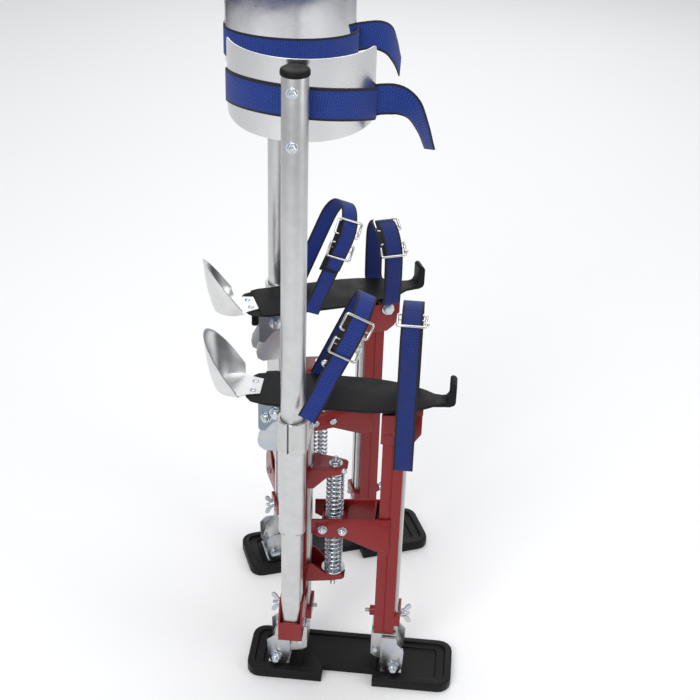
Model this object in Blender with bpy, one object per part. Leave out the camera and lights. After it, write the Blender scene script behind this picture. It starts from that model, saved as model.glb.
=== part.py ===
"""A pair of drywall stilts: floor plates, sprung parallelogram legs, foot plates,
leg tubes, calf bands and straps.  One stilt is described in its own frame in
millimetres (x towards the toes, y towards the wearer's left, z up, zero at the
middle of the floor plate's underside) and turned into metres when a mesh is made.
The left stilt is the right one mirrored."""
import math

import bmesh
import bpy
from mathutils import Matrix, Vector

MM = 0.001
# how the pair stands
SPACING = 275.0            # between the two floor plates' centres
TOE_OUT_DEG = 11.03        # each stilt turned out
SHIFT_X = 24.9             # moves the pair so that its box is centred on the origin
SHIFT_Y = 0.0
# the four pivots of the parallelogram
FRONT_X = 66.0
REAR_X = -109.0
FLOOR_PIVOT_Z = 25.0
TOP_PIVOT_Z = 464.0
BOLT_R = 5.0
BORE_R = 5.3
# floor plate
PLATE_LENGTH = 305.0
PLATE_WIDTH = 95.0
PLATE_HEIGHT = 16.0
PLATE_CORNER = 20.0
TREAD_Z = 12.0
POCKET_Z = 9.0
NOTCH_X = (-39.0, 36.0)
NOTCH_DEPTH = 24.0
# floor brackets
SHEET = 2.5
EAR_Y = 26.0
# struts
FRONT_STRUT_X = 48.5
REAR_STRUT_X = -81.5
STRUT_W = 29.0
STRUT_D = 42.0
STRUT_WALL = 2.5
LIP_Y = 13.0
STRUT_BOTTOM_Z = 84.0
FRONT_STRUT_TOP_Z = 451.0
REAR_STRUT_TOP_Z = 466.0
INNER_TOP_Z = 420.0
INNER_W = 23.4
INNER_D = 36.4
INNER_WALL = 2.8
RIB_Y = 12.5
RIB_OUT = 7.3
SLOT_Y = 3.5
SLOT_Z = (74.0, 364.0)
WING_Z = 108.0
WING_BOLT_R = 3.0
WING_BORE_R = 3.4
# springs
ROD_X = -30.0
ROD_R = 3.5
SPRING_R = 11.5
WIRE_R = 1.4
SPRING_TURNS = 9
SPRING_STEPS = 8
LOWER_SPRING_Z = (187.6, 262.9)
UPPER_SPRING_Z = (281.1, 355.4)
SEAT_Z = 272.0
CROSS_BOLT_X = (-44.0, -16.0)
# leg tube and calf band
TUBE_X = -82.0
TUBE_Y = -62.0
TUBE_R = 16.0
TUBE_BORE_R = 14.0
SLEEVE_R = 18.2
SLEEVE_BORE_R = 16.4
COLLAR_R = 20.5
TUBE_TOP_Z = 951.0
BAND_X = -86.0
BAND_R = 92.6
BAND_OUT_Y = -43.7
BAND_HALF_DEG = 74.0
BAND_Z = (859.0, 959.0)
# foot plate
FOOT_Z = (484.0, 488.0)
HEEL_STEP_X = -131.5
HEEL_Z = 486.0
HEEL_FRONT_X = -158.0
HEEL_FRONT_Z = 494.0
HEEL_SLOPE = 1.45
STRAP_BASE_Z = 489.0
WEBBING_THICK = 2.0
INSTEP_TAIL = ((-24.4, -46.6, 568.4), (-30.0, -49.4, 557.3), (-35.8, -57.0, 546.8), (-44.4, -68.6, 530.7),
               (-53.3, -78.1, 514.0), (-61.8, -83.4, 497.4))

COLLECTION = "drywall_stilts"

COLOURS = {
    "rubber_black": ((0.012, 0.012, 0.013, 1.0), 0.0, 0.6),
    "zinc": ((0.62, 0.64, 0.66, 1.0), 1.0, 0.32),
    "silver": ((0.66, 0.67, 0.68, 1.0), 1.0, 0.38),
    "red_paint": ((0.21, 0.020, 0.025, 1.0), 0.0, 0.3),
    "plate_black": ((0.014, 0.014, 0.015, 1.0), 0.0, 0.5),
    "polished": ((0.80, 0.80, 0.81, 1.0), 1.0, 0.12),
    "dark_zinc": ((0.34, 0.36, 0.38, 1.0), 1.0, 0.35),
    "webbing": ((0.016, 0.045, 0.30, 1.0), 0.0, 0.8),
}


def new_collection(name, hidden):
    coll = bpy.data.collections.new(name)
    bpy.context.scene.collection.children.link(coll)
    coll.hide_render = hidden
    return coll


def clear_scene():
    for obj in list(bpy.data.objects):
        bpy.data.objects.remove(obj, do_unlink=True)


def material(name, kind):
    colour, metallic, roughness = COLOURS[kind]
    mat = bpy.data.materials.new(name)
    mat.use_nodes = True
    shader = mat.node_tree.nodes["Principled BSDF"]
    shader.inputs["Base Color"].default_value = colour
    shader.inputs["Metallic"].default_value = metallic
    shader.inputs["Roughness"].default_value = roughness
    mat.diffuse_color = colour
    return mat


class Side:
    """Where one stilt stands.  flip is +1 for the right stilt and -1 for the left."""

    def __init__(self, prefix, flip):
        self.prefix = prefix
        self.flip = flip
        yaw = -math.radians(TOE_OUT_DEG) * flip
        place = Matrix.Translation((SHIFT_X * MM, (SHIFT_Y - flip * SPACING / 2.0) * MM, 0.0))
        turn = Matrix.Rotation(yaw, 4, "Z")
        mirror = Matrix.Diagonal((MM, MM * flip, MM, 1.0))
        self.matrix = place @ turn @ mirror

    def point(self, x, y, z):
        return self.matrix @ Vector((x, y, z))


def prism(points, low, high, plane):
    """A closed prism: a polygon in one plane carried along the third axis."""
    bm = bmesh.new()
    rings = []
    for level in (low, high):
        ring = []
        for a, b in points:
            if plane == "XY":
                co = (a, b, level)
            elif plane == "XZ":
                co = (a, level, b)
            else:
                co = (level, a, b)
            ring.append(bm.verts.new(co))
        rings.append(ring)
    count = len(points)
    bm.faces.new(rings[0])
    bm.faces.new(rings[1])
    for i in range(count):
        j = (i + 1) % count
        bm.faces.new((rings[0][i], rings[0][j], rings[1][j], rings[1][i]))
    bmesh.ops.recalc_face_normals(bm, faces=bm.faces)
    return bm


def loft(rings, closed_ends=True):
    """A closed skin through rings of points that all have the same count."""
    bm = bmesh.new()
    loops = [[bm.verts.new(p) for p in ring] for ring in rings]
    count = len(rings[0])
    for low, high in zip(loops[:-1], loops[1:]):
        for i in range(count):
            j = (i + 1) % count
            bm.faces.new((low[i], low[j], high[j], high[i]))
    if closed_ends:
        bm.faces.new(loops[0])
        bm.faces.new(loops[-1])
    bmesh.ops.recalc_face_normals(bm, faces=bm.faces)
    return bm


def box(x0, x1, y0, y1, z0, z1):
    return prism([(x0, y0), (x1, y0), (x1, y1), (x0, y1)], z0, z1, "XY")


def rod(axis, a, b, low, high, radius, sides=16, turn=0.0):
    """A round or many-sided bar along one axis; a and b place it on the other two."""
    points = []
    for i in range(sides):
        ang = 2.0 * math.pi * i / sides + turn
        points.append((a + radius * math.cos(ang), b + radius * math.sin(ang)))
    plane = {"X": "YZ", "Y": "XZ", "Z": "XY"}[axis]
    return prism(points, low, high, plane)


def rounded(x0, x1, y0, y1, radius, steps=4):
    points = []
    corners = ((x1 - radius, y1 - radius, 0.0), (x0 + radius, y1 - radius, 90.0),
               (x0 + radius, y0 + radius, 180.0), (x1 - radius, y0 + radius, 270.0))
    for cx, cy, start in corners:
        for i in range(steps + 1):
            ang = math.radians(start + 90.0 * i / steps)
            points.append((cx + radius * math.cos(ang), cy + radius * math.sin(ang)))
    return points


def mesh_object(name, bm, side, origin, coll):
    """Carry a bmesh from the stilt's frame to the pair's frame and make an object."""
    start = side.point(*origin)
    bmesh.ops.transform(bm, matrix=side.matrix, verts=bm.verts)
    bmesh.ops.translate(bm, vec=-start, verts=bm.verts)
    if side.flip < 0:
        bmesh.ops.reverse_faces(bm, faces=bm.faces)
    mesh = bpy.data.meshes.new(name)
    bm.to_mesh(mesh)
    bm.free()
    obj = bpy.data.objects.new(name, mesh)
    obj.location = start
    coll.objects.link(obj)
    return obj


def build(ctx, side, name, kind, solids, cuts=(), origin=(0.0, 0.0, 0.0), smooth=0.0):
    """One piece: the first solid, the others joined to it, then the cuts taken out."""
    full = side.prefix + name
    obj = mesh_object(full, solids[0], side, origin, ctx["parts"])
    jobs = [(bm, "UNION") for bm in solids[1:]] + [(bm, "DIFFERENCE") for bm in cuts]
    for index, (bm, operation) in enumerate(jobs):
        tool = mesh_object("%s_tool_%02d" % (full, index), bm, side, origin, ctx["cutters"])
        tool.hide_render = True
        tool.display_type = "WIRE"
        step = obj.modifiers.new("%s_%02d" % (operation.lower(), index), "BOOLEAN")
        step.operation = operation
        step.solver = "EXACT"
        step.object = tool
    obj.data.materials.append(material(full, kind))
    if smooth > 0.0:
        for poly in obj.data.polygons:
            poly.use_smooth = True
        obj.data.set_sharp_from_angle(angle=math.radians(smooth))
    return obj


def strut_section(cx, facing, groove):
    """Rolled C channel, open towards facing (+1 forward, -1 back)."""
    half = STRUT_W / 2.0
    wall = STRUT_WALL
    side_y = STRUT_D / 2.0
    outline = [(half, -side_y)]
    if groove:
        outline += [(1.2, -side_y), (0.6, -side_y + 0.9), (-0.6, -side_y + 0.9), (-1.2, -side_y)]
    outline += [(-half, -side_y), (-half, side_y)]
    if groove:
        outline += [(-1.2, side_y), (-0.6, side_y - 0.9), (0.6, side_y - 0.9), (1.2, side_y)]
    outline += [(half, side_y), (half, LIP_Y), (half - wall, LIP_Y), (half - wall, side_y - wall),
                (-half + wall, side_y - wall), (-half + wall, -side_y + wall),
                (half - wall, -side_y + wall), (half - wall, -LIP_Y), (half, -LIP_Y)]
    return [(cx + facing * x, y) for x, y in outline]


def inner_section(cx, facing):
    """Folded channel with a wide rib that stands out through the C channel's mouth."""
    half = INNER_W / 2.0
    side_y = INNER_D / 2.0
    wall = INNER_WALL
    rib = half + RIB_OUT
    outline = [(-half, -side_y), (half, -side_y), (half, -RIB_Y), (rib, -RIB_Y),
               (rib, RIB_Y), (half, RIB_Y), (half, side_y), (-half, side_y),
               (-half, side_y - wall), (half - wall, side_y - wall), (half - wall, RIB_Y - wall),
               (rib - wall, RIB_Y - wall), (rib - wall, wall - RIB_Y), (half - wall, wall - RIB_Y),
               (half - wall, wall - side_y), (-half, wall - side_y)]
    return [(cx + facing * x, y) for x, y in outline]


def floor_plate(ctx, side):
    half_l = PLATE_LENGTH / 2.0
    half_w = PLATE_WIDTH / 2.0
    top = rounded(-half_l + 1.5, half_l - 1.5, -half_w + 1.5, half_w - 1.5, PLATE_CORNER - 1.5)
    low = rounded(-half_l, half_l, -half_w, half_w, PLATE_CORNER)
    rings = [[(x, y, 0.0) for x, y in low],
             [(x, y, PLATE_HEIGHT - 2.0) for x, y in low],
             [(x, y, PLATE_HEIGHT) for x, y in top]]
    body = loft(rings)
    cuts = [prism(rounded(-half_l + 11.0, half_l - 11.0, -half_w + 10.0, half_w - 10.0, 11.0, 3),
                  TREAD_Z, PLATE_HEIGHT + 5.0, "XY")]
    for sign in (1.0, -1.0):
        inner = 41.0 if sign > 0 else 70.0
        ends = sorted((sign * inner, sign * (half_l - 24.0)))
        cuts.append(prism(rounded(ends[0], ends[1], -30.0, 30.0, 5.0, 2),
                          POCKET_Z, PLATE_HEIGHT + 5.0, "XY"))
    # the notch is on the wearer's right of both plates
    ys = sorted((-side.flip * (half_w + 5.0), -side.flip * (half_w - NOTCH_DEPTH)))
    cuts.append(box(NOTCH_X[0], NOTCH_X[1], ys[0], ys[1], -5.0, PLATE_HEIGHT + 10.0))
    build(ctx, side, "floor_plate", "rubber_black", [body], cuts)


def ear_outline(px, sign):
    """Chamfered ear round the pivot at px; sign is +1 where the ear leans forward."""
    shape = [(-20.0, 79.0), (2.0, 79.0), (4.0, 66.0), (14.0, 54.0), (13.0, 22.0),
             (6.0, POCKET_Z + 0.3), (-12.0, POCKET_Z + 0.3), (-20.0, 28.0)]
    return [(px + sign * x, z) for x, z in shape]


def floor_bracket(ctx, side, name, px, sign, ear_top):
    outline = [(x, min(z, ear_top)) for x, z in ear_outline(px, sign)]
    x0, x1 = sorted((px - sign * 19.0, px + sign * 12.0))
    z0 = POCKET_Z + 0.3
    body = box(x0, x1, -EAR_Y + 0.5, EAR_Y - 0.5, z0, z0 + SHEET)
    ears = [prism(outline, -EAR_Y, -EAR_Y + SHEET, "XZ"), prism(outline, EAR_Y - SHEET, EAR_Y, "XZ")]
    bore = rod("Y", px, FLOOR_PIVOT_Z, -40.0, 40.0, BORE_R, 12)
    build(ctx, side, name, "zinc", [body] + ears, [bore])


def pivot_bolt(ctx, side, name, px, pz, near, far, tip):
    """A bolt along y: nut at -near with the shank out to -tip, head at +far."""
    shank = rod("Y", px, pz, -tip, far + 9.0, BOLT_R, 12)
    nut = rod("Y", px, pz, -near - 8.0, -near - 1.6, 8.0, 6, math.pi / 6.0)
    washer = rod("Y", px, pz, -near - 2.0, -near, 9.5, 16)
    head = rod("Y", px, pz, far, far + 6.5, 8.2, 6)
    build(ctx, side, name, "zinc", [shank, nut, washer, head], origin=(px, 0.0, pz))


def inner_strut(ctx, side, name, cx, px, facing, sign):
    section = inner_section(cx, facing)
    channel = prism(section, 70.0, INNER_TOP_Z, "XY")
    rear = cx - sign * 17.5
    fore = cx + sign * 19.4
    shape = [(rear, 82.0), (rear, 42.0), (rear + sign * 7.0, 36.0), (px - sign * 12.0, 30.0),
             (px - sign * 10.0, 18.0), (px - sign * 4.0, 13.9), (px + sign * 4.0, 13.9),
             (px + sign * 10.0, 18.0), (px + sign * 11.0, 30.0), (px + sign * 4.0, 52.0),
             (fore, 66.0), (fore, 82.0)]
    shoe = prism(shape, -20.8, 20.8, "XZ")
    bore = rod("Y", px, FLOOR_PIVOT_Z, -40.0, 40.0, BORE_R, 12)
    slot_x = sorted((cx, cx + facing * 30.0))
    slot = box(slot_x[0], slot_x[1], -SLOT_Y, SLOT_Y, 92.0, SLOT_Z[1])
    # the shoe is a fork: a slot through its middle lets dirt fall out
    gap_x = sorted((px - sign * 16.0, px + sign * 30.0))
    gap = box(gap_x[0], gap_x[1], -13.0, 13.0, 0.0, 44.0)
    build(ctx, side, name, "silver", [channel, shoe], [bore, slot, gap],
          origin=(px, 0.0, FLOOR_PIVOT_Z))


def strut_bosses(cx, facing):
    """Boss on the closed wall and a bridge over the mouth, for the wing bolt."""
    closed = cx - facing * STRUT_W / 2.0
    mouth = cx + facing * STRUT_W / 2.0
    xs = sorted((closed + facing * 0.5, closed - facing * 8.0))
    parts = [rod("X", 0.0, WING_Z, xs[0], xs[1], 7.5, 12)]
    for y0, y1 in ((-20.5, -13.3), (13.3, 20.5)):
        xs = sorted((mouth - facing * 0.6, mouth + facing * 6.0))
        parts.append(box(xs[0], xs[1], y0, y1, WING_Z - 9.0, WING_Z + 9.0))
    xs = sorted((mouth + facing * 5.4, mouth + facing * 8.4))
    parts.append(box(xs[0], xs[1], -20.5, 20.5, WING_Z - 9.0, WING_Z + 9.0))
    return parts


def front_outer_strut(ctx, side, facing):
    body = prism(strut_section(FRONT_STRUT_X, facing, True), STRUT_BOTTOM_Z, FRONT_STRUT_TOP_Z, "XY")
    bore = rod("X", 0.0, WING_Z, FRONT_STRUT_X - 40.0, FRONT_STRUT_X + 40.0, WING_BORE_R, 12)
    build(ctx, side, "front_outer_strut", "red_paint",
          [body] + strut_bosses(FRONT_STRUT_X, facing), [bore],
          origin=(FRONT_STRUT_X, 0.0, STRUT_BOTTOM_Z))


def rear_outer_strut(ctx, side, facing):
    body = prism(strut_section(REAR_STRUT_X, facing, True), STRUT_BOTTOM_Z, REAR_STRUT_TOP_Z, "XY")
    parts = [body] + strut_bosses(REAR_STRUT_X, facing)
    # U bracket that holds the foot of the leg tube
    rear = REAR_STRUT_X - STRUT_W / 2.0
    fore = REAR_STRUT_X + STRUT_W / 2.0
    face_y = TUBE_Y - SLEEVE_R - 0.6
    profile = [(face_y - SHEET, 112.0), (-14.0, 112.0), (-14.0, 150.0), (-40.0, 150.0),
               (-52.0, 174.0), (-72.0, 174.0), (face_y - SHEET, 146.0)]
    parts.append(prism(profile, rear - 2.3, rear + 0.2, "YZ"))
    parts.append(prism(profile, fore - 0.2, fore + 2.3, "YZ"))
    parts.append(box(rear - 2.0, fore + 2.0, face_y - SHEET + 0.1, face_y, 112.2, 144.0))
    bore = rod("X", 0.0, WING_Z, REAR_STRUT_X - 40.0, REAR_STRUT_X + 40.0, WING_BORE_R, 12)
    build(ctx, side, "rear_outer_strut", "red_paint", parts, [bore],
          origin=(REAR_STRUT_X, 0.0, STRUT_BOTTOM_Z))


def wing_bolt(ctx, side, name, cx, wing):
    """Bolt along x with two wings on the side that wing points to."""
    start = cx - wing * 29.5
    neck = cx + wing * 23.5
    xs = sorted((start, neck + wing * 1.0))
    shank = rod("X", 0.0, WING_Z, xs[0], xs[1], WING_BOLT_R, 12)
    xs = sorted((neck, neck + wing * 8.0))
    hub = rod("X", 0.0, WING_Z, xs[0], xs[1], 5.6, 12)
    blades = []
    for up in (1.0, -1.0):
        shape = [(neck + wing * 1.5, up * 2.5), (neck + wing * 6.5, up * 2.5),
                 (neck + wing * 14.5, up * 12.0), (neck + wing * 14.0, up * 16.5),
                 (neck + wing * 9.5, up * 17.0), (neck + wing * 6.0, up * 13.0)]
        blades.append(prism([(x, WING_Z + z) for x, z in shape], -1.3, 1.3, "XZ"))
    build(ctx, side, name, "zinc", [shank, hub] + blades, origin=(cx, 0.0, WING_Z))


def front_top_bracket(ctx, side):
    outline = [(31.2, 425.0), (31.2, 471.0), (84.8, 475.5), (84.8, 446.0), (76.8, 433.5), (66.0, 425.0)]
    near = prism(outline, -24.0, -21.4, "XZ")
    far = prism(outline, 21.4, 24.0, "XZ")
    web = box(31.35, 33.6, -23.7, 23.7, 425.3, 470.2)
    bore = rod("Y", FRONT_X, TOP_PIVOT_Z, -40.0, 40.0, BORE_R, 12)
    build(ctx, side, "front_top_bracket", "red_paint", [web, near, far], [bore],
          origin=(FRONT_X, 0.0, TOP_PIVOT_Z))


def rear_hanger(ctx, side):
    rear = REAR_STRUT_X - STRUT_W / 2.0
    outline = [(rear - 0.4, 396.0), (-126.0, 396.0), (-134.0, 402.0), (-136.0, 412.0), (-134.0, 424.0),
               (-118.5, 450.0), (-118.5, 468.0), (-114.0, 473.5), (-104.0, 473.5), (rear - 0.4, 466.0)]
    near = prism(outline, -18.0, -15.5, "XZ")
    far = prism(outline, 15.5, 18.0, "XZ")
    web = box(rear - 7.6, rear - 5.1, -17.8, 17.8, 396.2, 462.0)
    bore = rod("Y", REAR_X, TOP_PIVOT_Z, -40.0, 40.0, BORE_R, 12)
    build(ctx, side, "rear_hanger", "zinc", [web, near, far], [bore],
          origin=(REAR_X, 0.0, TOP_PIVOT_Z))


def foot_plate(ctx, side):
    """Thin black plate under the boot, with a toe stop and the ears of both top pivots."""
    edge = [(-150.0, 24.0), (-142.0, 34.0), (-120.0, 40.0), (10.0, 40.0), (35.0, 37.0), (55.0, 33.0),
            (70.0, 28.5), (87.0, 20.5), (98.0, 13.5), (113.0, 11.5), (120.0, 11.0)]
    outline = [(x, -y) for x, y in edge] + [(x, y) for x, y in reversed(edge)]
    parts = [prism(outline, FOOT_Z[0], FOOT_Z[1], "XY")]
    stop = [(104.0, 485.0), (119.0, 484.0), (125.0, 486.5), (127.0, 491.0), (127.0, 516.0), (124.5, 520.0),
            (120.5, 521.0), (117.5, 518.5), (117.5, 496.0), (114.0, 490.0), (104.0, 487.4)]
    parts.append(prism(stop, -11.0, 11.0, "XZ"))
    lug = [(56.0, 486.0), (56.0, 462.0), (60.0, 456.5), (66.0, 454.5), (72.0, 456.5), (76.0, 462.0),
           (76.0, 486.0)]
    for y0, y1 in ((-20.0, -16.0), (16.0, 20.0)):
        parts.append(prism(lug, y0, y1, "XZ"))
    tab = [(-100.0, 485.2), (-100.0, 459.0), (-104.0, 453.0), (-114.0, 447.0), (-124.0, 434.0),
           (-133.0, 436.0), (-133.0, 485.2)]
    for y0, y1 in ((-24.5, -22.0), (22.0, 24.5)):
        parts.append(prism(tab, y0, y1, "XZ"))
    bores = [rod("Y", FRONT_X, TOP_PIVOT_Z, -40.0, 40.0, BORE_R, 12),
             rod("Y", REAR_X, TOP_PIVOT_Z, -40.0, 40.0, BORE_R, 12),
             box(-160.0, HEEL_STEP_X, -50.0, 50.0, FOOT_Z[1] - 2.4, FOOT_Z[1] + 5.0)]
    build(ctx, side, "foot_plate", "plate_black", parts, bores, origin=(REAR_X, 0.0, TOP_PIVOT_Z))


def heel_ring(radius, back, share, thick):
    """U outline of the heel cup in plan; share goes from 0 at its foot to 1 at its sloping top edge."""
    points = []
    for shell, order in ((radius, 1.0), (radius - thick, -1.0)):
        run = []
        for i in range(13):
            ang = math.radians(-90.0 + 180.0 * i / 12.0)
            run.append((back - shell * math.cos(ang), shell * math.sin(ang)))
        run = [(back + 8.0, -shell)] + run + [(back + 8.0, shell)]
        if order < 0:
            run.reverse()
        points += run
    ring = []
    for x, y in points:
        crest = HEEL_FRONT_Z + HEEL_SLOPE * max(0.0, HEEL_FRONT_X - x)
        ring.append((x, y, HEEL_Z + (crest - HEEL_Z) * share))
    return ring


def heel_cup(ctx, side):
    low = heel_ring(29.0, -166.0, 0.0, 2.0)
    mid = heel_ring(35.0, -167.0, 0.45, 2.0)
    top = heel_ring(39.0, -169.0, 1.0, 2.0)
    shell = loft([low, mid, top])
    tongue = [(HEEL_STEP_X - 0.4, -18.0), (HEEL_STEP_X - 0.4, 18.0), (-150.0, 23.0), (-157.0, 28.0),
              (-166.0, 28.0), (-184.0, 22.0), (-194.0, 8.0), (-194.0, -8.0), (-184.0, -22.0),
              (-166.0, -28.0), (-157.0, -28.0), (-150.0, -23.0)]
    floor = prism(tongue, HEEL_Z, FOOT_Z[1] - 0.1, "XY")
    build(ctx, side, "heel_cup", "polished", [shell, floor], origin=(REAR_X, 0.0, TOP_PIVOT_Z))


def spring_bracket(ctx, side, name, plate_z, up, facing):
    """Tapered channel off the rear strut; up is +1 when its flanges rise from the plate."""
    root = REAR_STRUT_X + STRUT_W / 2.0 + 0.4
    notch = root + 5.4
    outer = [(root, -22.0), (root, -14.0), (notch, -14.0), (notch, 14.0), (root, 14.0), (root, 22.0),
             (-30.0, 15.5), (-16.0, 11.0), (-13.0, 7.0), (-13.0, -7.0), (-16.0, -11.0), (-30.0, -15.5)]
    inner = [(root - 6.0, -20.3), (root - 6.0, 20.3), (-30.0, 13.2), (-10.0, 7.0), (-10.0, -7.0), (-30.0, -13.2)]
    tall = 31.0
    zs = sorted((plate_z, plate_z + up * tall))
    body = prism(outer, zs[0], zs[1], "XY")
    zs = sorted((plate_z + up * 2.5, plate_z + up * (tall + 9.0)))
    hollow = prism(inner, zs[0], zs[1], "XY")
    slope = [(-60.0, plate_z + up * 33.0), (-40.0, plate_z + up * 13.0), (-10.0, plate_z + up * 7.0),
             (-5.0, plate_z + up * 7.0), (-5.0, plate_z + up * 45.0), (-60.0, plate_z + up * 45.0)]
    wedge = prism(slope, -40.0, 40.0, "XZ")
    zs = (plate_z - 10.0, plate_z + 10.0)
    bore = rod("Z", ROD_X, 0.0, zs[0], zs[1], ROD_R + 0.5, 12)
    build(ctx, side, name, "red_paint", [body], [hollow, wedge, bore], origin=(ROD_X, 0.0, plate_z))


def middle_bracket(ctx, side):
    outline = [(-60.0, 287.0), (50.0, 297.0), (50.0, 240.0), (31.0, 239.5), (-15.0, 259.0),
               (-48.0, 257.0), (-60.0, 263.0)]
    near = prism(outline, -24.0, -21.4, "XZ")
    far = prism(outline, 21.4, 24.0, "XZ")
    web = box(25.8, 28.4, -23.8, 23.8, 243.0, 294.0)
    pins = []
    for x in CROSS_BOLT_X:
        pins.append(rod("Y", x, SEAT_Z, -27.0, 27.0, 3.8, 12))
    build(ctx, side, "middle_spring_bracket", "red_paint", [web, near, far] + pins,
          origin=(FRONT_STRUT_X, 0.0, SEAT_Z))


def spring_rod(ctx, side):
    parts = [rod("Z", ROD_X, 0.0, 153.0, 382.0, ROD_R, 12),
             rod("Z", ROD_X, 0.0, 164.5, 171.6, 6.5, 6),
             rod("Z", ROD_X, 0.0, 174.9, 184.6, 6.5, 12),
             rod("Z", ROD_X, 0.0, 184.0, 186.0, 17.0, 16),
             rod("Z", ROD_X, 0.0, 357.0, 359.0, 17.0, 16),
             rod("Z", ROD_X, 0.0, 358.6, 367.1, 6.5, 12),
             rod("Z", ROD_X, 0.0, 370.4, 376.5, 6.5, 6)]
    # the big washers are trimmed where the flanges of the brackets come in
    cuts = []
    for y0, y1 in ((-20.0, -12.0), (12.0, 20.0)):
        cuts.append(box(-60.0, 0.0, y0, y1, 356.0, 360.0))
        cuts.append(box(-60.0, 0.0, y0, y1, 183.0, 187.0))
    for z0, z1 in ((356.0, 360.0), (183.0, 187.0)):
        cuts.append(box(-18.5, -8.0, -20.0, 20.0, z0, z1))
    build(ctx, side, "spring_rod", "zinc", parts, cuts, origin=(ROD_X, 0.0, SEAT_Z))


def coil_spring(ctx, side, name, z0, z1):
    """Round wire wound about the rod."""
    curve = bpy.data.curves.new(side.prefix + name, "CURVE")
    curve.dimensions = "3D"
    curve.bevel_depth = WIRE_R * MM
    curve.bevel_resolution = 1
    curve.use_fill_caps = True
    curve.render_resolution_u = 0
    spline = curve.splines.new("POLY")
    count = SPRING_TURNS * SPRING_STEPS + 1
    spline.points.add(count - 1)
    start = side.point(ROD_X, 0.0, z0)
    low = z0 + WIRE_R + 0.1
    rise = z1 - z0 - 2.0 * WIRE_R - 0.2
    for i in range(count):
        ang = 2.0 * math.pi * i / SPRING_STEPS
        share = i / (count - 1)
        x = ROD_X + SPRING_R * math.cos(ang)
        y = SPRING_R * math.sin(ang)
        co = side.point(x, y, low + rise * share) - start
        spline.points[i].co = (co.x, co.y, co.z, 1.0)
    obj = bpy.data.objects.new(side.prefix + name, curve)
    obj.location = start
    obj.data.materials.append(material(side.prefix + name, "zinc"))
    ctx["parts"].objects.link(obj)


def spring_seat(ctx, side):
    parts = [rod("Z", ROD_X, 0.0, 265.0, 279.0, 6.5, 12),
             rod("Z", ROD_X, 0.0, 263.2, 265.6, 13.0, 16),
             rod("Z", ROD_X, 0.0, 278.4, 280.8, 13.0, 16)]
    bore = rod("Z", ROD_X, 0.0, 250.0, 290.0, ROD_R + 0.4, 12)
    build(ctx, side, "spring_seat", "zinc", parts, [bore], origin=(ROD_X, 0.0, SEAT_Z))


def lower_leg_tube(ctx, side):
    """Flattened foot, round sleeve, clamp collar and the plate that ties it to the strut."""
    flat = prism(rounded(REAR_STRUT_X - 13.9, REAR_STRUT_X + 13.9, TUBE_Y - 17.6, TUBE_Y + 17.6, 7.0, 3),
                 130.0, 301.0, "XY")
    sleeve = rod("Z", TUBE_X, TUBE_Y, 296.0, 484.0, SLEEVE_R, 24)
    collar = rod("Z", TUBE_X, TUBE_Y, 437.0, 484.0, COLLAR_R, 24)
    tie = prism([(-53.0, 436.0), (-46.0, 430.0), (-14.0, 430.0), (-14.0, 470.0), (-53.0, 470.0)],
                -66.4, -62.0, "YZ")
    bore = rod("Z", TUBE_X, TUBE_Y, 304.0, 500.0, SLEEVE_BORE_R, 24)
    pocket = prism(rounded(REAR_STRUT_X - 11.6, REAR_STRUT_X + 11.6, TUBE_Y - 15.3, TUBE_Y + 15.3, 5.0, 2),
                   120.0, 298.0, "XY")
    slit = box(TUBE_X - 5.2, TUBE_X - 2.8, TUBE_Y - 30.0, TUBE_Y - 8.0, 432.0, 500.0)
    build(ctx, side, "lower_leg_tube", "silver", [sleeve, flat, collar, tie], [bore, pocket, slit],
          origin=(TUBE_X, TUBE_Y, 300.0), smooth=35.0)


def upper_leg_tube(ctx, side):
    tube = rod("Z", TUBE_X, TUBE_Y, 340.0, TUBE_TOP_Z, TUBE_R, 24)
    bore = rod("Z", TUBE_X, TUBE_Y, 330.0, TUBE_TOP_Z + 10.0, TUBE_BORE_R, 16)
    build(ctx, side, "upper_leg_tube", "silver", [tube], [bore], origin=(TUBE_X, TUBE_Y, 484.0), smooth=35.0)


def calf_band(ctx, side):
    cy = BAND_OUT_Y + BAND_R
    rings = []
    steps = 20
    for i in range(steps + 1):
        share = 2.0 * i / steps - 1.0
        ang = math.radians(BAND_HALF_DEG * share)
        ring = []
        trim = 9.0 * abs(share) ** 3
        for radius, z in ((BAND_R, BAND_Z[0] + trim), (BAND_R, BAND_Z[1]),
                          (BAND_R - 1.8, BAND_Z[1]), (BAND_R - 1.8, BAND_Z[0] + trim)):
            ring.append((BAND_X + radius * math.sin(ang), cy - radius * math.cos(ang), z))
        rings.append(ring)
    build(ctx, side, "calf_band", "polished", [loft(rings)], origin=(BAND_X, BAND_OUT_Y, BAND_Z[0]),
          smooth=35.0)


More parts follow.
